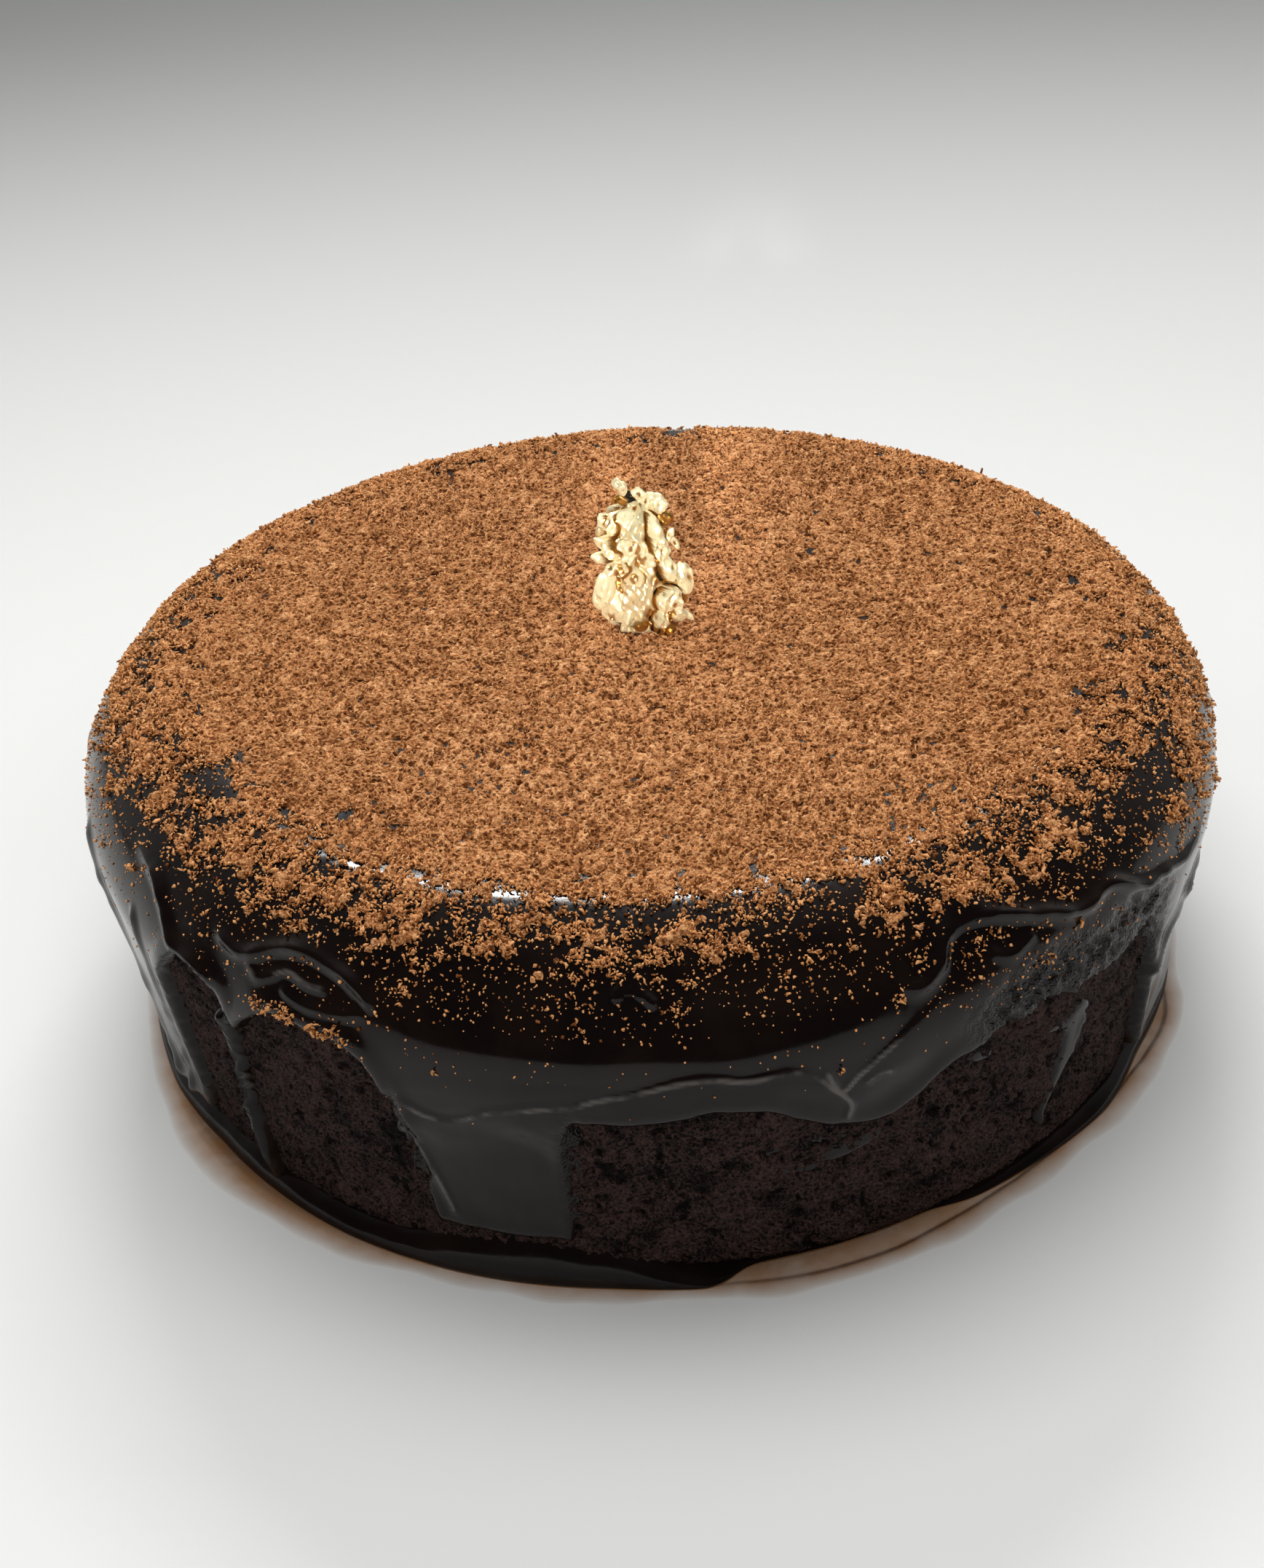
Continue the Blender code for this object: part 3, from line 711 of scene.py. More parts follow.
filmForm = {
    "columns": 720,
    "thickness": 0.2,
    "edge": (  # angle and radius of its darker edge line, once round
        (-72, 56.4), (-66, 57.4), (-58, 58.0), (-48, 58.3), (-38, 58.0), (-30, 57.7), (-18, 56.6),
        (0, 57.0), (7, 57.5), (13, 57.9), (20, 57.6), (27, 56.9), (34, 56.4), (41, 56.3), (50, 56.7),
        (56, 57.0), (61, 57.5), (66, 57.9), (70, 57.2), (74, 56.0), (90, 56.6), (120, 56.4), (140, 57.6),
        (155, 58.6), (175, 57.4), (190, 56.6), (205, 58.2), (225, 57.6), (240, 56.2), (255, 57.6),
        (270, 56.4),
    ),
    # angle, and how clear that line is there
    "lineClear": ((-180, 0.4), (-90, 0.2), (-30, 0.1), (0, 0.6), (15, 1), (75, 1), (90, 0.4), (180, 0.4)),
    "halo": 2.0,  # how far the paler stain goes beyond it
    "inner": 53.0,
    # each row: share of the way to the edge line, share of the halo beyond it, level, dark share and cover
    # where the line is clear, and the same where it isn't
    "rows": (
        (0, 0, 0.5, 0.5, 0.75, 1, 0.9), (0.5, 0, 0.5, 0.4, 0.7, 1, 0.9), (0.8, 0, 0.7, 0.1, 0.55, 0.7, 0.85),
        (0.9, 0, 0.9, 0.2, 0.55, 0.35, 0.7), (0.96, 0, 1, 0.9, 0.8, 0.2, 0.6),
        (1, 0, 0.9, 0.9, 0.78, 0.12, 0.55), (1, 0.08, 0.7, 0.4, 0.62, 0.08, 0.5),
        (1, 0.25, 0.5, 0.1, 0.48, 0.03, 0.42), (1, 0.5, 0.4, 0, 0.34, 0, 0.3),
        (1, 0.75, 0.3, 0, 0.2, 0, 0.17), (1, 0.92, 0.2, 0, 0.08, 0, 0.07), (1, 1, 0.1, 0, 0, 0, 0),
        (1, 0.95, 0.02, 0, 0, 0, 0), (0.5, 0, 0.02, 0, 0, 0, 0), (0, 0, 0.02, 0, 0.06, 0, 0.06),
    ),
}


def makeFilm(material):
    # a thin flat ring from under the foot to the edge line, and out to a soft stain
    angle = np.linspace(0, 360, filmForm["columns"], endpoint=False)
    edge = np.interp(angle, *curveOnce(filmForm["edge"], 2.0), period=360)
    edge = edge + 0.15 * roundNoise(angle, 60, 5.0, 71, 3)
    wide = filmForm["halo"] * (1 + 0.5 * roundNoise(angle, 60, 9.0, 75, 2))
    table = np.array(filmForm["rows"], float).T[..., None]
    toEdge, beyond, level, line, cover, plainLine, plainCover = table
    clear = np.interp(apart(angle, 0), *np.array(filmForm["lineClear"]).T)
    line, cover = plainLine + (line - plainLine) * clear, plainCover + (cover - plainCover) * clear
    radius = filmForm["inner"] + (edge - filmForm["inner"]) * toEdge + wide * beyond
    points = placed(angle, radius, filmForm["thickness"] * level).reshape(-1, 3)
    quads, triangles, flat = closedRing(len(radius), filmForm["columns"])
    return makePiece("syrupFilm", points, quads, triangles, material, (), flat,
                     {"line": line, "cover": cover})


filmLook = {"stain": (0.43, 0.21, 0.075), "line": (0.060, 0.028, 0.018)}


def filmFinish():  # a see-through stain with a darker line, patchy
    graph = Graph("thinSyrup", 0.10, IOR=1.42)
    patches = graph.noise(4.0, 3.0)
    graph.set("Base Color", graph.blend(graph.mark("line"), filmLook["stain"], filmLook["line"]))
    graph.set("Alpha", graph.mark("cover") * (0.55 + 0.9 * patches))
    return graph.material


# The cocoa: a granular bed, thinning to clumps and single grains over the shoulder

cocoaForm = {
    "bedTopCells": 430,
    "bedRingColumns": 1300,
    "bedRingRows": 74,
    "rim": 47.0,  # where the disc of the bed passes to the ring
    "overlap": 0.8,  # how far the disc goes on under the ring
    "rimDip": 0.5,  # how far each one's rim dips below the other
    "cutDip": 0.6,  # the same where the disc's halves meet
    "fanDepth": 1.6,  # how deep each half's closed underside goes
    "lastPath": 61.5,
    # share covered, and how far the clumping is raised there
    "standing": ((0, -1.8), (0.02, -0.95), (0.1, -0.58), (0.5, 0), (0.85, 0.47), (0.97, 0.9), (1, 1.5)),
    "thinning": (  # path and share covered, at the front
        (0, 1.0), (42, 1.0), (44, 0.96), (46, 0.86), (48, 0.64), (50, 0.50), (52, 0.52), (54, 0.46),
        (56, 0.31), (58, 0.17), (60, 0.08), (62, 0.04), (64, 0.014), (66, 0.004), (70, 0.0),
    ),
    "bedLess": 0.26,  # how much less the bed itself covers on the shoulder, where clusters take over
    "backLift": -3.2,  # the ring's closed back
    "sideShift": (  # angle, and how much farther down the shoulder it all lies there
        (-180, 4.5), (-90, 2.6), (-80, 2.6), (-70, 1.6), (-60, -0.2), (-45, 0.4), (-30, 0.8), (0, 0.0),
        (20, 0.0), (30, 1.4), (50, 1.8), (60, 2.6), (70, 4.0), (80, 4.8), (90, 4.8), (180, 4.5),
    ),
    "extra": (  # dense places low on the shoulder: angle, height, half width, half height, share
        (-33.0, 28.8, 5.5, 1.5, 0.55),
        (30.0, 32.5, 7.0, 1.6, 0.15),
        (62.0, 31.5, 9.0, 2.0, 0.25),
    ),
    "bare": (  # thin places on the top: angle, path, half width, half length, share taken
        (-38.0, 41.0, 6.0, 2.5, 0.35),
        (-60.0, 48.5, 5.0, 2.2, 0.55),
        (-50.0, 46.5, 5.0, 2.0, 0.30),
        (-66.0, 45.5, 5.0, 2.0, 0.30),
        (57.0, 56.0, 9.0, 2.0, 0.25),
        (172.0, 51.5, 3.0, 3.0, 0.8),
        (0.0, 49.6, 20.0, 1.9, 0.19),
        (14.0, 53.0, 6.0, 2.4, 0.25),
    ),
}


def cocoaCover(angle, path):
    # the share of the ganache that cocoa hides here
    shift = np.interp(apart(angle, 0), *np.array(cocoaForm["sideShift"]).T)
    cover = np.interp(path - shift * smooth(path, 30, 50), *np.array(cocoaForm["thinning"]).T)
    for middle, height, halfWidth, halfHeight, share in cocoaForm["extra"]:
        cover = cover + share * inside(angle, path, middle, height, halfWidth, halfHeight, 0.5)
    for middle, where, halfWidth, halfLength, share in cocoaForm["bare"]:
        size = np.hypot(apart(angle, middle) / halfWidth, (path - where) / halfLength)
        cover = cover - share * (1 - smooth(size, 0.4, 1.4))
    return np.clip(cover, 0, 1)


def clumping(angle, path, points):
    # how far above the ganache's skin the clumps would stand here: broken noise whose zero goes down where
    # the cover is full and up where it is thin
    broken = 0.75 * cloud(points, 2.2, 81) + 0.80 * cloud(points, 0.85, 82) + 0.65 * cloud(points, 0.45, 83)
    cover = cocoaCover(angle, path) - cocoaForm["bedLess"] * smooth(path, 44.5, 48.5)
    return broken + np.interp(cover, *np.array(cocoaForm["standing"]).T)


def bedLift(angle, path):
    # the bed's lift: the skin's, and clumps that join where the cover is full, with curly ridges and grains
    # on them. Also the ridges' own height, which the powder's painted light and shade follow
    angle, path = np.broadcast_arrays(angle, path)
    points = onCake(angle, path, 0.0)
    skin = swell(points)
    low = path > 52
    if low.any():
        skin[low] = ganacheLift(angle[low], path[low])[0]
    stand = clumping(angle, path, points)
    bent = points + 0.35 * np.stack([cloud(points, 0.9, seed) for seed in (96, 97, 98)], axis=-1)
    relief = 0.34 * curly(bent, 0.85, 84) + 0.34 * curly(bent, 0.45, 85) + 0.20 * lumps(points, 0.5, 88)
    body = np.clip(stand * 0.45, -0.5, 0.04 + 0.08 * cloud(points, 4.0, 93))
    return skin + body + relief * smooth(stand, -0.25, 0.25) - 0.08, relief


def discGrid(cells):
    # a square grid pressed into a disc: each square ring becomes a round one. Gives angle, share of the
    # radius, the corner numbers and each corner's place on a flat map
    a, b = np.meshgrid(np.linspace(-1, 1, cells + 1), np.linspace(-1, 1, cells + 1), indexing="xy")
    wide = np.abs(a) >= np.abs(b)
    share = np.where(wide, np.abs(a), np.abs(b))
    slant = np.where(wide, b / np.where(a == 0, 1, a), a / np.where(b == 0, 1, b)) * math.pi / 4
    x = np.where(wide, a * np.cos(slant), b * np.sin(slant))
    y = np.where(wide, a * np.sin(slant), b * np.cos(slant))
    angle = np.degrees(np.arctan2(x, -y))
    row, column = np.meshgrid(np.arange(cells), np.arange(cells), indexing="ij")
    start = row * (cells + 1) + column
    quads = np.stack([start, start + 1, start + cells + 2, start + cells + 1], -1).reshape(-1, 4)
    flat = np.stack([quads % (cells + 1), quads // (cells + 1)], -1) / cells
    return angle.ravel(), share.ravel(), quads, flat


def makeBedTop(material):
    # the bed's disc in two halves, each closed underneath by a fan that lies in the ganache
    cells = cocoaForm["bedTopCells"]
    angle, share, quads, flat = discGrid(cells)
    path = share * (cocoaForm["rim"] + cocoaForm["overlap"])
    lift, relief = bedLift(angle, path)
    lift = lift - (lift + cocoaForm["rimDip"]) * smooth(share, 0.9999, 1.0)
    points = onCake(angle, path, lift)
    half = cells // 2
    for name, first, last in (("cocoaBedFront", 0, half), ("cocoaBedBack", half, cells)):
        start, stop = max(first - 1, 0), min(last + 1, cells)
        kept = np.arange(start * (cells + 1), (stop + 1) * (cells + 1))
        own = points[kept].reshape(stop - start + 1, cells + 1, 3).copy()
        if start < first:
            own[0, :, 2] -= cocoaForm["cutDip"]  # the cut edge dips under the other half
        if stop > last:
            own[-1, :, 2] -= cocoaForm["cutDip"]
        cut = slice(start * cells, stop * cells)
        ownQuads = quads[cut] - kept[0]
        rows, columns = own.shape[:2]
        side, up = np.arange(columns - 1), np.arange(rows - 1)
        rim = [side, up * columns + columns - 1, rows * columns - 1 - side, (rows - 1 - up) * columns]
        rim = np.concatenate(rim)
        middle = own.reshape(-1, 3).mean(axis=0) - np.array([0, 0, cocoaForm["fanDepth"]])
        below = np.full(len(rim), rows * columns)
        triangles = np.stack([rim, below, np.roll(rim, -1)], -1)
        ownFlat = np.concatenate([flat[cut].reshape(-1, 2), np.zeros((3 * len(rim), 2))])
        marks = {"rise": np.append(relief[kept], 0)}
        own = np.concatenate([own.reshape(-1, 3), [middle]])
        makePiece(name, own, ownQuads, triangles, material, ["cocoa"] if first == 0 else (), ownFlat,
                  marks, soft=False)


def makeBedRing(material):
    # the bed's ring over the shoulder, closed behind by rows that lie in the sponge
    path = np.linspace(cocoaForm["rim"], cocoaForm["lastPath"], cocoaForm["bedRingRows"])
    angle = frontSpaced(cocoaForm["bedRingColumns"], 0.3)[None, :]
    lift, relief = bedLift(angle, path[:, None])
    lift[0] = np.minimum(lift[0], -cocoaForm["rimDip"])
    ends = onCake(angle, path[[-1, 0]][:, None], cocoaForm["backLift"])
    rows = np.concatenate([onCake(angle, path[:, None], lift), ends])
    quads, triangles, flat = closedRing(len(rows), cocoaForm["bedRingColumns"])
    points = rows.reshape(-1, 3)
    marks = {"rise": np.append(relief.ravel(), np.zeros(len(points) - relief.size))}
    return makePiece("cocoaShoulder", points, quads, triangles, material, (), flat, marks,
                     soft=False)


cocoaLook = {
    # shade is painted shade for the bed's crevices and also the darkest crumbs' colour; light is painted
    # light for the crests
    "shade": (0.150, 0.045, 0.0100),
    "middle": (0.56, 0.235, 0.082),
    "light": (1.0, 0.560, 0.270),
}


def cocoaFinish():
    # powder: winding crests with painted light on top and painted shade in the crevices
    graph = Graph("cocoaPowder", 0.9, IOR=1.25)
    worms = graph.ridges(0.55)
    fine = graph.noise(0.28, 2.0, 0.7)
    patches = graph.noise(8.0, 2.0)
    # the higher the relief, the more painted light; the lower, the more painted shade
    high = worms * 0.40 + graph.mark("rise") * 0.62 + fine * 0.20 + patches * 0.16
    colour = graph.blend(high.between(0.55, 1.15), cocoaLook["middle"], cocoaLook["light"])
    graph.set("Base Color", graph.blend(high.between(0.72, 0.38), colour, cocoaLook["shade"]))
    graph.bump(worms * 0.30 + fine * 0.10, 1.0)
    return graph.material


crumbForm = {
    "seed": 7,
    "bedCount": 14000,  # loose crumbs on the bed
    "bedSize": (0.105, 0.25),  # middle radius and its spread, as a share
    "clusterCount": 6200,  # clusters on the shoulder
    "clusterGrains": 5.5,  # how many crumbs each has, and how far apart they lie
    "clusterSpread": 0.29,
    "clusterSize": (0.100, 0.28),
    # share of the cover, and how much a cluster or a single grain is wanted there
    "clusterWanted": ((0, 0), (0.02, 0.03), (0.1, 0.16), (0.3, 0.5), (0.5, 1), (0.8, 1), (0.95, 0.5),
                      (1, 0.1)),
    "looseCount": 12500,  # single grains among and below them
    "looseSize": (0.110, 0.40),
    "looseWanted": ((0, 0.003), (0.012, 0.02), (0.04, 0.09), (0.1, 0.26), (0.3, 0.5), (0.6, 0.5), (1, 0)),
}


def curledCrumb():  # a short bent rod's points and faces: three rings of three, with closed ends
    turn = np.radians(np.array([90, 210, 330]))
    rings = [np.stack([np.full(3, along), bend + wide * np.cos(turn), wide * np.sin(turn)], -1)
             for along, bend, wide in ((-1.9, 0.7, 0.7), (0.0, -0.3, 1.1), (1.7, 0.6, 0.75))]
    faces = [(0, 2, 1), (6, 7, 8)]
    for ring, side in itertools.product((0, 3), range(3)):
        a, b = ring + side, ring + (side + 1) % 3
        faces += [(a, b, b + 3), (a, b + 3, a + 3)]
    return np.concatenate(rings), np.array(faces)


def eightSided():  # an octahedron's points and faces
    points = np.array([(1, 0, 0), (-1, 0, 0), (0, 1, 0), (0, -1, 0), (0, 0, 1), (0, 0, -1)], float)
    faces = np.array([(0, 2, 4), (2, 1, 4), (1, 3, 4), (3, 0, 4), (2, 0, 5), (1, 2, 5), (3, 1, 5), (0, 3, 5)])
    return points, faces


def makeCrumbs(name, solid, angle, path, lift, size, random, material):
    # copies of one small solid, each with its corners moved, stretched, turned at random and set on the cake
    corners, faces = solid
    count = len(angle)
    shape = corners * (1 + random.uniform(-0.3, 0.3, (count, len(corners), 1)))
    shape = shape * random.uniform(0.65, 1.25, (count, 1, 3))
    turn = np.linalg.qr(random.normal(size=(count, 3, 3)))[0]
    turn = turn * np.sign(np.linalg.det(turn))[:, None, None]
    shape = np.einsum("nij,nkj->nki", turn, shape) * size[:, None, None]
    points = (onCake(angle, path, lift)[:, None, :] + shape).reshape(-1, 3)
    triangles = (faces + len(corners) * np.arange(count)[:, None, None]).reshape(-1, 3)
    across = math.ceil(math.sqrt(count))
    cell = np.stack([np.arange(count) % across, np.arange(count) // across], -1)[:, None, None, :]
    spot = np.array([(0.15, 0.15), (0.85, 0.15), (0.5, 0.85)])[None, None]
    flat = ((cell + spot + np.zeros((1, len(faces), 1, 1))) / across).reshape(-1, 2)
    tone = np.repeat(random.uniform(0, 1, count), len(corners))
    return makePiece(name, points, [], triangles, material, (), flat, {"tone": tone})


def strewn(random, count, tries, low, high, chanceAt):
    # places spread evenly over the cake between two paths, each kept at the chance given for it, and the
    # first of them up to a count
    path = random.uniform(low, high, tries)
    angle = random.uniform(-180, 180, tries)
    around = np.minimum(path, flatRadius + (path - flatRadius) * 0.55) / cakeForm["radius"]
    even = random.uniform(0, 1, tries) < around
    angle, path = angle[even], path[even]
    kept = random.uniform(0, 1, len(angle)) < chanceAt(angle, path)
    return angle[kept][:count], path[kept][:count]


def sizes(random, count, size):  # radii spread round a middle one, by the exponent of a bell
    middle, share = size
    return middle * np.exp(share * random.normal(size=count)).clip(0.5, 2.1)


def bedChance(angle, path):  # on the bed, in every place where it is well covered
    return smooth(cocoaCover(angle, path), 0.3, 0.9)


def clusterChance(angle, path):  # on the shoulder, gathered where the clumping stands high
    stand = clumping(angle, path, onCake(angle, path, 0.0))
    wanted = np.interp(cocoaCover(angle, path), *np.array(crumbForm["clusterWanted"]).T)
    return (0.12 + smooth(stand, -0.9, -0.1)) * wanted


def looseChance(angle, path):  # fewer further down
    return np.interp(cocoaCover(angle, path - 2.0), *np.array(crumbForm["looseWanted"]).T)


def makeAllCrumbs(material):
    # loose crumbs on the bed, then clusters of them on the shoulder, then single grains among and below them
    random = np.random.default_rng(crumbForm["seed"])
    count = crumbForm["bedCount"]
    angle, path = strewn(random, count, 4 * count, 0.0, 56.0, bedChance)
    lift, _ = bedLift(angle, path)
    size = sizes(random, len(angle), crumbForm["bedSize"])
    shown = lift > 0.05
    places = (values[shown] for values in (angle, path, lift, size))
    makeCrumbs("cocoaGrains", curledCrumb(), *places, random, material)
    count = crumbForm["clusterCount"]
    angle, path = strewn(random, count, 24 * count, 45.0, 68.0, clusterChance)
    grains = 1 + random.geometric(1 / crumbForm["clusterGrains"], len(angle)).clip(1, 22)
    reach = crumbForm["clusterSpread"] * np.sqrt(grains / crumbForm["clusterGrains"])
    angle, path, reach = (np.repeat(values, grains) for values in (angle, path, reach))
    angle = angle + reach * random.normal(size=len(angle)) * 60 / np.minimum(path, 58)
    path = path + reach * random.normal(size=len(angle))
    skin, into, near, _ = ganacheLift(angle, path)
    size = sizes(random, len(angle), crumbForm["clusterSize"])
    lift = skin + size * random.uniform(0.4, 2.6, len(angle))
    good = (into > 0.8) & (cocoaCover(angle, path) < 0.985) & (random.uniform(0, 1, len(angle)) > 1.2 * near)
    places = [values[good] for values in (angle, path, lift, size)]
    for k, part in enumerate(np.array_split(np.arange(good.sum()), 3)):
        own = (values[part] for values in places)
        makeCrumbs(f"cocoaClumps{k + 1}", curledCrumb(), *own, random, material)
    count = crumbForm["looseCount"]
    angle, path = strewn(random, count, 16 * count, 46.0, 74.0, looseChance)
    skin, into, near, _ = ganacheLift(angle, path)
    size = sizes(random, len(angle), crumbForm["looseSize"]) * np.interp(path, (56, 66, 72), (1, 0.8, 0.5))
    good = (into > 0.8) & (random.uniform(0, 1, len(angle)) > 1.2 * near)  # none on bare sponge, few on ropes
    places = (values[good] for values in (angle, path, skin + 0.35 * size, size))
    makeCrumbs("cocoaSpecks", eightSided(), *places, random, material)


crumbLook = {"middle": (0.47, 0.185, 0.058), "light": (0.80, 0.400, 0.165)}


def crumbFinish():  # one even colour for each crumb, from shade to light
    graph = Graph("cocoaGrain", 0.9, IOR=1.25)
    tone = graph.mark("tone")
    colour = graph.blend(tone, crumbLook["middle"], crumbLook["light"])
    graph.set("Base Color", graph.blend(tone.between(0.30, 0.0), colour, cocoaLook["shade"]))
    return graph.material


# The gold leaf: a crumpled body with small flakes on it

leafForm = {
    "place": (0.8, 1.3),
    "lean": 0.11,  # how far back it leans for each unit of height
    "seed": 5,
    "bodyColumns": 210,
    "bodyRows": 130,
    "core": ((0, 1.8), (3, 2.6), (8, 2.3), (12, 1.8), (13, 1.2), (13.9, 0.2)),  # height and least reach
    "axis": ((0, 0.2), (6, -0.3), (10, -0.6), (14, -0.2)),  # height and how far across
    "sharp": 15.0,  # how sharply the lobes meet
    "coarseFolds": (4, 1.9, 0.40),  # count, spacing and depth
    "fineFolds": (6, 0.80, 0.15),
    "lobeColumns": 24,
    "lobeRows": 14,
    # across, up, forward, half across, half up, half deep, tilt to the right, and tone: 0 bright, 1 amber,
    # 1.6 dark, the amber and dark being painted shade
    "lobes": (
        (-1.8, 15.3, 0.4, 0.65, 0.90, 0.60, 0, 0.0),
        (-2.1, 14.0, 0.4, 0.80, 0.70, 0.45, 10, 0.8),
        (-0.9, 14.1, -0.1, 0.85, 0.60, 0.45, 0, 1.6),
        (0.0, 14.4, 0.3, 0.65, 0.60, 0.55, 20, 0.0),
        (0.9, 13.8, 0.5, 0.75, 0.60, 0.60, -30, 0.0),
        (2.0, 13.2, 0.4, 0.62, 0.60, 0.50, -40, 0.1),
        (-3.8, 12.0, 0.7, 0.55, 1.00, 0.50, -10, 0.1),
        (-4.1, 11.1, 0.9, 0.40, 0.45, 0.35, 0, 0.4),
        (-2.8, 11.8, 1.0, 1.00, 1.30, 0.90, 10, 0.0),
        (-1.2, 12.1, 0.9, 1.40, 1.30, 1.00, 0, 0.0),
        (2.4, 11.9, 0.5, 0.55, 0.65, 0.45, 0, 0.9),
        (1.3, 11.2, 1.4, 0.95, 1.90, 0.95, -8, 0.0),
        (1.7, 9.1, 1.9, 1.05, 1.90, 1.10, -10, 0.0),
        (2.4, 7.1, 2.0, 0.90, 1.50, 0.90, -14, 0.0),
        (-0.9, 9.7, 1.8, 1.80, 1.05, 1.20, 15, 0.0),
        (0.4, 8.5, 2.0, 1.20, 0.95, 1.10, -20, 0.0),
        (-3.2, 9.4, 1.3, 1.90, 0.85, 0.80, 38, 0.0),
        (-4.4, 8.3, 1.2, 0.75, 0.65, 0.55, 40, 0.0),
        (-2.4, 7.4, 1.9, 1.40, 0.90, 0.95, -15, 0.15),
        (-0.8, 6.5, 2.2, 0.95, 0.95, 1.00, 0, 0.1),
        (0.9, 5.9, 1.7, 0.85, 1.10, 0.80, 20, 0.75),
        (-4.1, 5.0, 1.6, 1.15, 2.20, 0.22, 22, 0.0),
        (-2.9, 2.9, 1.4, 1.70, 1.90, 0.28, 25, 0.0),
        (-1.0, 3.1, 1.9, 0.62, 2.80, 0.40, 33, 0.1),
        (4.2, 5.5, 1.0, 1.00, 1.85, 0.35, -12, 0.1),
        (2.3, 3.7, 1.9, 1.70, 1.45, 1.30, 0, 0.15),
        (1.5, 1.8, 2.1, 1.05, 1.40, 1.10, 10, 0.2),
        (3.0, 2.2, 1.8, 1.15, 1.25, 1.00, -20, 0.3),
        (4.2, 1.9, 2.0, 1.15, 0.38, 0.14, 42, 0.0),
        (3.0, 10.3, 1.2, 0.36, 0.80, 0.22, 20, 0.3),
        (3.5, 9.3, 1.2, 0.36, 0.85, 0.22, -25, 0.2),
        (1.8, 0.5, 2.3, 1.20, 0.75, 0.80, 10, 1.0),
        (-2.3, 0.5, 1.6, 0.60, 0.40, 0.40, 20, 0.0),
        (-1.4, 0.4, 1.8, 0.35, 0.35, 0.30, 0, 0.4),
        (-0.5, 1.1, 2.0, 0.75, 0.75, 0.60, 0, 0.9),
        (-1.4, 4.2, 0.6, 2.60, 3.40, 1.10, 10, 0.6),
        (1.6, 4.2, 0.6, 2.40, 3.60, 1.10, -10, 0.6),
        (0.0, 9.6, 0.2, 2.60, 3.60, 1.10, 0, 0.5),
    ),
    "moreLobes": 26,  # strewn over the back and the sides, within the leaf's outline
    "outline": ((0, 3.8), (3, 4.3), (7, 3.8), (11, 2.9), (14, 1.6)),  # height and half width
}


def folded(points, random, count, spacing, depth):
    # sharp folds: the mean of triangle waves that run across the points in random directions
    total = 0
    for way in random.normal(size=(count, 3)):
        phase = points @ (way / np.linalg.norm(way)) / spacing + random.uniform()
        total = total + 4 * np.abs(phase % 1 - 0.5) - 1
    return depth * total / math.sqrt(count)


def leafFoot():  # the height that the leaf stands on, in the cocoa
    return onCake(0.0, np.array(0.0), 0.0)[2] + 0.35


def leafBody(lobes):
    # one skin round an upright axis: at each height and angle the farthest of the lobes along the way out, by
    # the larger root of each lobe's squashed ball, with the corners between them rounded. Also its tone, with
    # painted shade: more amber where it lies deeper than its surroundings
    up = np.linspace(0, 13.9, leafForm["bodyRows"])[:, None]
    way = np.linspace(0, 2 * math.pi, leafForm["bodyColumns"], endpoint=False)[None]
    core, middle = (np.interp(up, *np.array(leafForm[name]).T) for name in ("core", "axis"))
    total, toned = np.exp(leafForm["sharp"] * core), np.exp(leafForm["sharp"] * core) * 0.9
    for across, height, forward, wide, tall, deep, tilt, tone in lobes:
        turn = math.radians(tilt)
        aside, above = middle - across, up - height
        start = ((aside * math.cos(turn) - above * math.sin(turn)) / wide, forward / deep,
                 (aside * math.sin(turn) + above * math.cos(turn)) / tall)
        step = (np.sin(way) * math.cos(turn) / wide, -np.cos(way) / deep, np.sin(way) * math.sin(turn) / tall)
        a = sum(part * part for part in step)
        b = sum(one * two for one, two in zip(start, step))
        room = b * b / a - sum(part * part for part in start) + 1
        out = (-b + np.sqrt(np.maximum(room * a, 0))) / a
        out = core + (out - core) * smooth(room, 0, 0.15)
        weight = np.exp(leafForm["sharp"] * out)
        total, toned = total + weight, toned + weight * tone
    out = np.log(total) / leafForm["sharp"]
    around = sum(np.roll(out, shift, axis=1) for shift in range(-6, 7)) / 13
    tone = toned / total + 1.15 * smooth(around - out, 0.02, 0.20)
    points = np.stack(np.broadcast_arrays(middle + out * np.sin(way), -out * np.cos(way), up), -1)
    outward = np.stack(np.broadcast_arrays(np.sin(way), -np.cos(way), 0 * up), -1)
    ends = np.array([(middle[0, 0], 0, 0), (middle[-1, 0], 0, up[-1, 0] + 0.1)])
    quads, triangles, _ = ringGrid(*out.shape, 1, 1)
    return (np.concatenate([points.reshape(-1, 3), ends]), np.concatenate([outward.reshape(-1, 3), 0 * ends]),
            np.append(tone.ravel(), (0.5, 0.5)), quads[:, ::-1], triangles[:, ::-1])


def leafFlakes(lobes):  # squashed balls, tilted
    rowCount, columns = leafForm["lobeRows"], leafForm["lobeColumns"]
    down = np.linspace(0, math.pi, rowCount + 2)[1:-1, None]
    angle = np.linspace(0, 360, columns, endpoint=False)
    ball = placed(angle, np.sin(down), np.cos(down)).reshape(-1, 3)
    ball = np.concatenate([ball, [(0, 0, 1), (0, 0, -1)]])
    quads, triangles, _ = ringGrid(rowCount, columns, 1, 1)
    turn = np.radians(lobes[:, 6])[:, None]
    x, y, z = (ball[None] * lobes[:, None, (3, 5, 4)]).transpose(2, 0, 1)
    x, z = x * np.cos(turn) + z * np.sin(turn), z * np.cos(turn) - x * np.sin(turn)
    points = np.stack([x, y, z], -1) + (lobes[:, (0, 2, 1)] * np.array([1, -1, 1]))[:, None]
    start = len(ball) * np.arange(len(lobes))[:, None, None]
    outward = ball[None] * np.minimum(lobes[:, 5] / 0.5, 1)[:, None, None]
    return (points.reshape(-1, 3), outward.reshape(-1, 3), np.repeat(lobes[:, 7], len(ball)),
            (quads[None] + start).reshape(-1, 4), (triangles[None] + start).reshape(-1, 3))


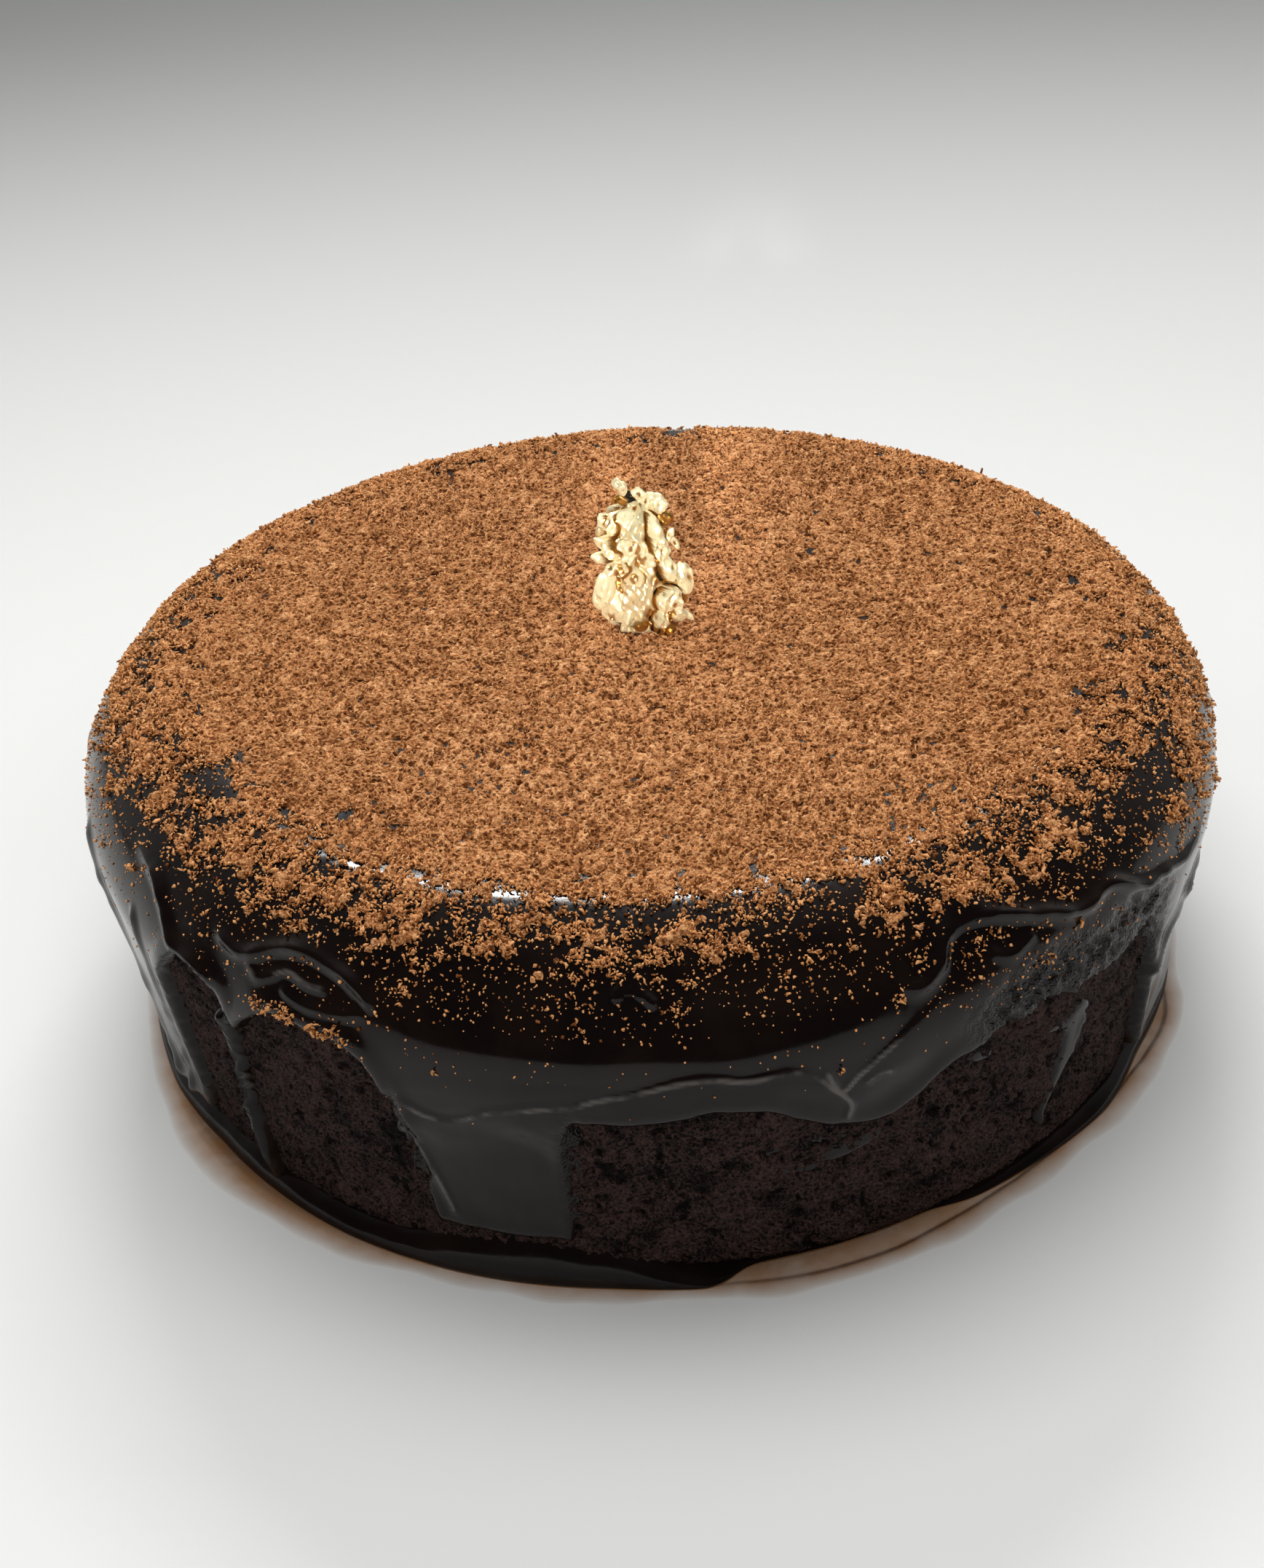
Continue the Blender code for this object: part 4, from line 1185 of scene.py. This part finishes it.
def makeLeaf(material):
    # a crumpled body and loose flakes on it, pushed in and out by folds that run on from one into the next
    random = np.random.default_rng(leafForm["seed"])
    count = leafForm["moreLobes"]
    up = random.uniform(0.8, 12.5, count)
    reach = np.interp(up, *np.array(leafForm["outline"]).T)
    half = random.uniform(0.7, 1.5, (3, count))
    across, forward = reach * random.uniform(-0.75, 0.75, count), random.uniform(-2.3, -0.2, count)
    tilt, tone = random.uniform(-50, 50, count), np.where(random.uniform(size=count) < 0.2, 0.9, 0.05)
    more = np.stack([across, up, forward, half[0], half[1] * 1.2, half[2] * 0.7, tilt, tone], -1)
    lobes = np.array(leafForm["lobes"])
    inBody = (lobes[:, 5] >= 0.5) & (lobes[:, 1] < 13)
    body, flakes = leafBody(np.concatenate([lobes[inBody], more])), leafFlakes(lobes[~inBody])
    points, outward, tone = (np.concatenate([body[k], flakes[k]]) for k in range(3))
    quads, triangles = (np.concatenate([body[k], flakes[k] + len(body[0])]) for k in (3, 4))
    coarse = folded(points, random, *leafForm["coarseFolds"])
    fine = folded(points, random, *leafForm["fineFolds"])
    points = points + outward * (coarse + fine)[:, None]
    points[:, 1] += leafForm["lean"] * points[:, 2]
    points = points + np.array([*leafForm["place"], leafFoot()])
    points[:, 2] = np.maximum(points[:, 2], leafFoot() - 0.3)
    # painted shade: more amber in the valleys of the folds
    tone = tone + 0.7 * smooth(-fine - 0.4 * coarse, 0.08, 0.22)
    return makePiece("goldLeaf", points, quads, triangles, material, ["gold_leaf"], None,
                     {"tone": tone}, soft=False)


# amber and dark are painted shade, for the folds and the deepest hole
leafLook = {"bright": (1.0, 0.89, 0.54), "amberShade": (0.50, 0.235, 0.042), "paintedShade": (0.045, 0.035, 0.02)}


def leafFinish():  # bright foil, amber from painted shade and more metallic in the folds, painted shade in its deepest hole
    graph = Graph("goldFoil", 0.3, 0.4)
    tone = graph.mark("tone")
    patches = graph.noise(1.6, 2.0)
    # amber: the tone's painted shade, plus patches of it at random
    amberShade = tone + 0.3 * patches.between(0.56, 0.75)
    colour = graph.blend(amberShade.between(0.0, 1.0), leafLook["bright"], leafLook["amberShade"])
    graph.set("Base Color", graph.blend(tone.between(1.2, 1.6), colour, leafLook["paintedShade"]))
    graph.set("Roughness", 0.20 + 0.26 * patches)
    graph.set("Metallic", 0.42 + 0.45 * amberShade.between(0.0, 0.8))
    graph.bump(graph.noise(0.6, 3.0, 0.6), 0.12, 0.6)
    return graph.material


# The floor, the light and the camera

studio = {
    "floorSize": 6.0,  # this and the backdrop's sizes in metres
    "backdropRadius": 2.6,
    "backdropHeight": 2.4,
    "floorColour": (0.70, 0.70, 0.686),
    # painted shade: the floor is coloured darker far behind, for less light there
    "floorFarShade": (0.17, 0.17, 0.165),
    "floorFade": (-0.02, 0.5),  # how far back, in metres, it passes from one to the other
    "backdropColour": (0.62, 0.62, 0.60),
    "lamps": (  # name, place, what it is turned to, size, power, seen in gloss
        ("softbox", (-0.06, 0.14, 0.82), (0, 0, 0), (0.70, 0.60), 4.4, False),
        ("frontFill", (0.00, -0.80, 0.75), (0, 0, 0), (1.00, 0.60), 2.0, False),
        ("leftFill", (-0.90, 0.00, 0.60), (0, 0, 0), (1.00, 0.60), 1.2, False),
        ("rightFill", (0.90, 0.00, 0.60), (0, 0, 0), (1.00, 0.60), 1.7, False),
        ("floorFill", (0.00, -1.20, 1.00), (0, -1.1, 0), (1.60, 0.80), 8.0, False),
        ("rimStrip", (0.00, 0.58, 0.55), (0, 0, 0), (0.36, 0.035), 3.0, True),
    ),
    # place, power, cone, soft share and radius of the lamp that skims over the top to the leaf
    "leafSpot": ((-0.06, -0.48, 0.16), 33.0, 1.5, 0.6, 0.01),
    "worldDark": 0.03,
    "worldBright": 0.44,
    "worldRise": (-0.25, 0.85),  # from the front to the back, where it passes from dark to bright
    "cameraPlace": (-1.90, -201.41, 150.44),
    "cameraPitch": 33.12,
    "cameraRoll": -3.95,
    "focalPixels": 3000.0,
    "imageHeight": 2153.0,
}


def makeStudio():  # a pale floor with painted shade darkening it far behind, and a plain backdrop that lights nothing
    floorGraph = Graph("paleFloor", 0.5, Specular_IOR_Level=0.2)
    back = floorGraph.add("ShaderNodeSeparateXYZ", {}, {0: floorGraph.place}, out="Y")
    fade = back.between(*studio["floorFade"])
    floorGraph.set("Base Color", floorGraph.blend(fade, studio["floorColour"], studio["floorFarShade"]))
    bpy.ops.mesh.primitive_plane_add(size=studio["floorSize"])
    floor = bpy.context.object
    floor.name = "floor"
    floor.data.materials.append(floorGraph.material)
    backGraph = Graph("paleBackdrop", 1.0)
    backGraph.set("Base Color", (0.0, 0.0, 0.0))
    backGraph.set("Emission Color", studio["backdropColour"])
    backGraph.set("Emission Strength", 1.0)
    bpy.ops.mesh.primitive_cylinder_add(vertices=96, radius=studio["backdropRadius"],
                                        depth=studio["backdropHeight"], end_fill_type="NOTHING")
    backdrop = bpy.context.object
    backdrop.name = "backdrop"
    backdrop.data.materials.append(backGraph.material)
    for kind in ("diffuse", "glossy", "transmission", "shadow"):
        setattr(backdrop, f"visible_{kind}", False)
    print("floor and backdrop placed")


def addObject(name, data, place):  # a lamp or a camera at its place, in metres
    holder = bpy.data.objects.new(name, data)
    holder.location = place
    bpy.context.scene.collection.objects.link(holder)
    return holder


def aim(holder, target):  # turned so that it looks along the line to the target
    holder.rotation_euler = (Vector(target) - holder.location).to_track_quat("-Z", "Y").to_euler()


def makeLight():  # wide soft lamps, one narrow lamp on the leaf, and air that is brighter behind the cake
    for name, place, target, (width, depth), power, inGloss in studio["lamps"]:
        lamp = bpy.data.lights.new(name, "AREA")
        lamp.shape = "RECTANGLE"
        lamp.size, lamp.size_y = width, depth
        lamp.energy = power
        holder = addObject(name, lamp, place)
        holder.visible_glossy = inGloss
        aim(holder, target)
    place, power, cone, softShare, radius = studio["leafSpot"]
    lamp = bpy.data.lights.new("leafSpot", "SPOT")
    lamp.energy, lamp.spot_size = power, math.radians(cone)
    lamp.spot_blend, lamp.shadow_soft_size = softShare, radius
    across, back = leafForm["place"]
    target = Vector((across + 0.2, back, leafFoot() + 7.5)) / metre
    aim(addObject("leafSpot", lamp, place), target)
    world = bpy.data.worlds.new("studioAir")
    world.use_nodes = True
    air = Nodes(world.node_tree)
    direction = air.add("ShaderNodeTexCoord", out="Generated")
    back = air.add("ShaderNodeSeparateXYZ", {}, {0: direction}, out="Y")
    background = world.node_tree.nodes["Background"]
    air.feed(background.inputs["Color"], (1.0, 1.0, 0.985))
    strength = back.between(*studio["worldRise"], studio["worldDark"], studio["worldBright"])
    air.feed(background.inputs["Strength"], strength)
    bpy.context.scene.world = world
    print("lamps lit")


def makeCamera():  # a lens of this many pixels' focal length, pitched down and rolled
    lens = bpy.data.cameras.new("camera")
    lens.sensor_width = 36.0
    lens.lens = studio["focalPixels"] / studio["imageHeight"] * lens.sensor_width
    lens.clip_start = 0.01
    holder = addObject("camera", lens, [part / metre for part in studio["cameraPlace"]])
    pitch = math.radians(90 - studio["cameraPitch"])
    roll = math.radians(studio["cameraRoll"])
    turned = Matrix.Rotation(pitch, 3, "X") @ Matrix.Rotation(roll, 3, "Z")
    holder.rotation_euler = turned.to_euler()
    bpy.context.scene.camera = holder
    print("camera aimed")


makeStudio()
makeLight()
makeCamera()
bpy.context.scene.view_settings.view_transform = "Standard"
ganacheMaterial = ganacheFinish()
makeGanache(ganacheMaterial)
makeSponge(spongeFinish())
makeFoot(ganacheMaterial)
makeFilm(filmFinish())
cocoaMaterial = cocoaFinish()
makeBedTop(cocoaMaterial)
makeBedRing(cocoaMaterial)
makeAllCrumbs(crumbFinish())
makeLeaf(leafFinish())
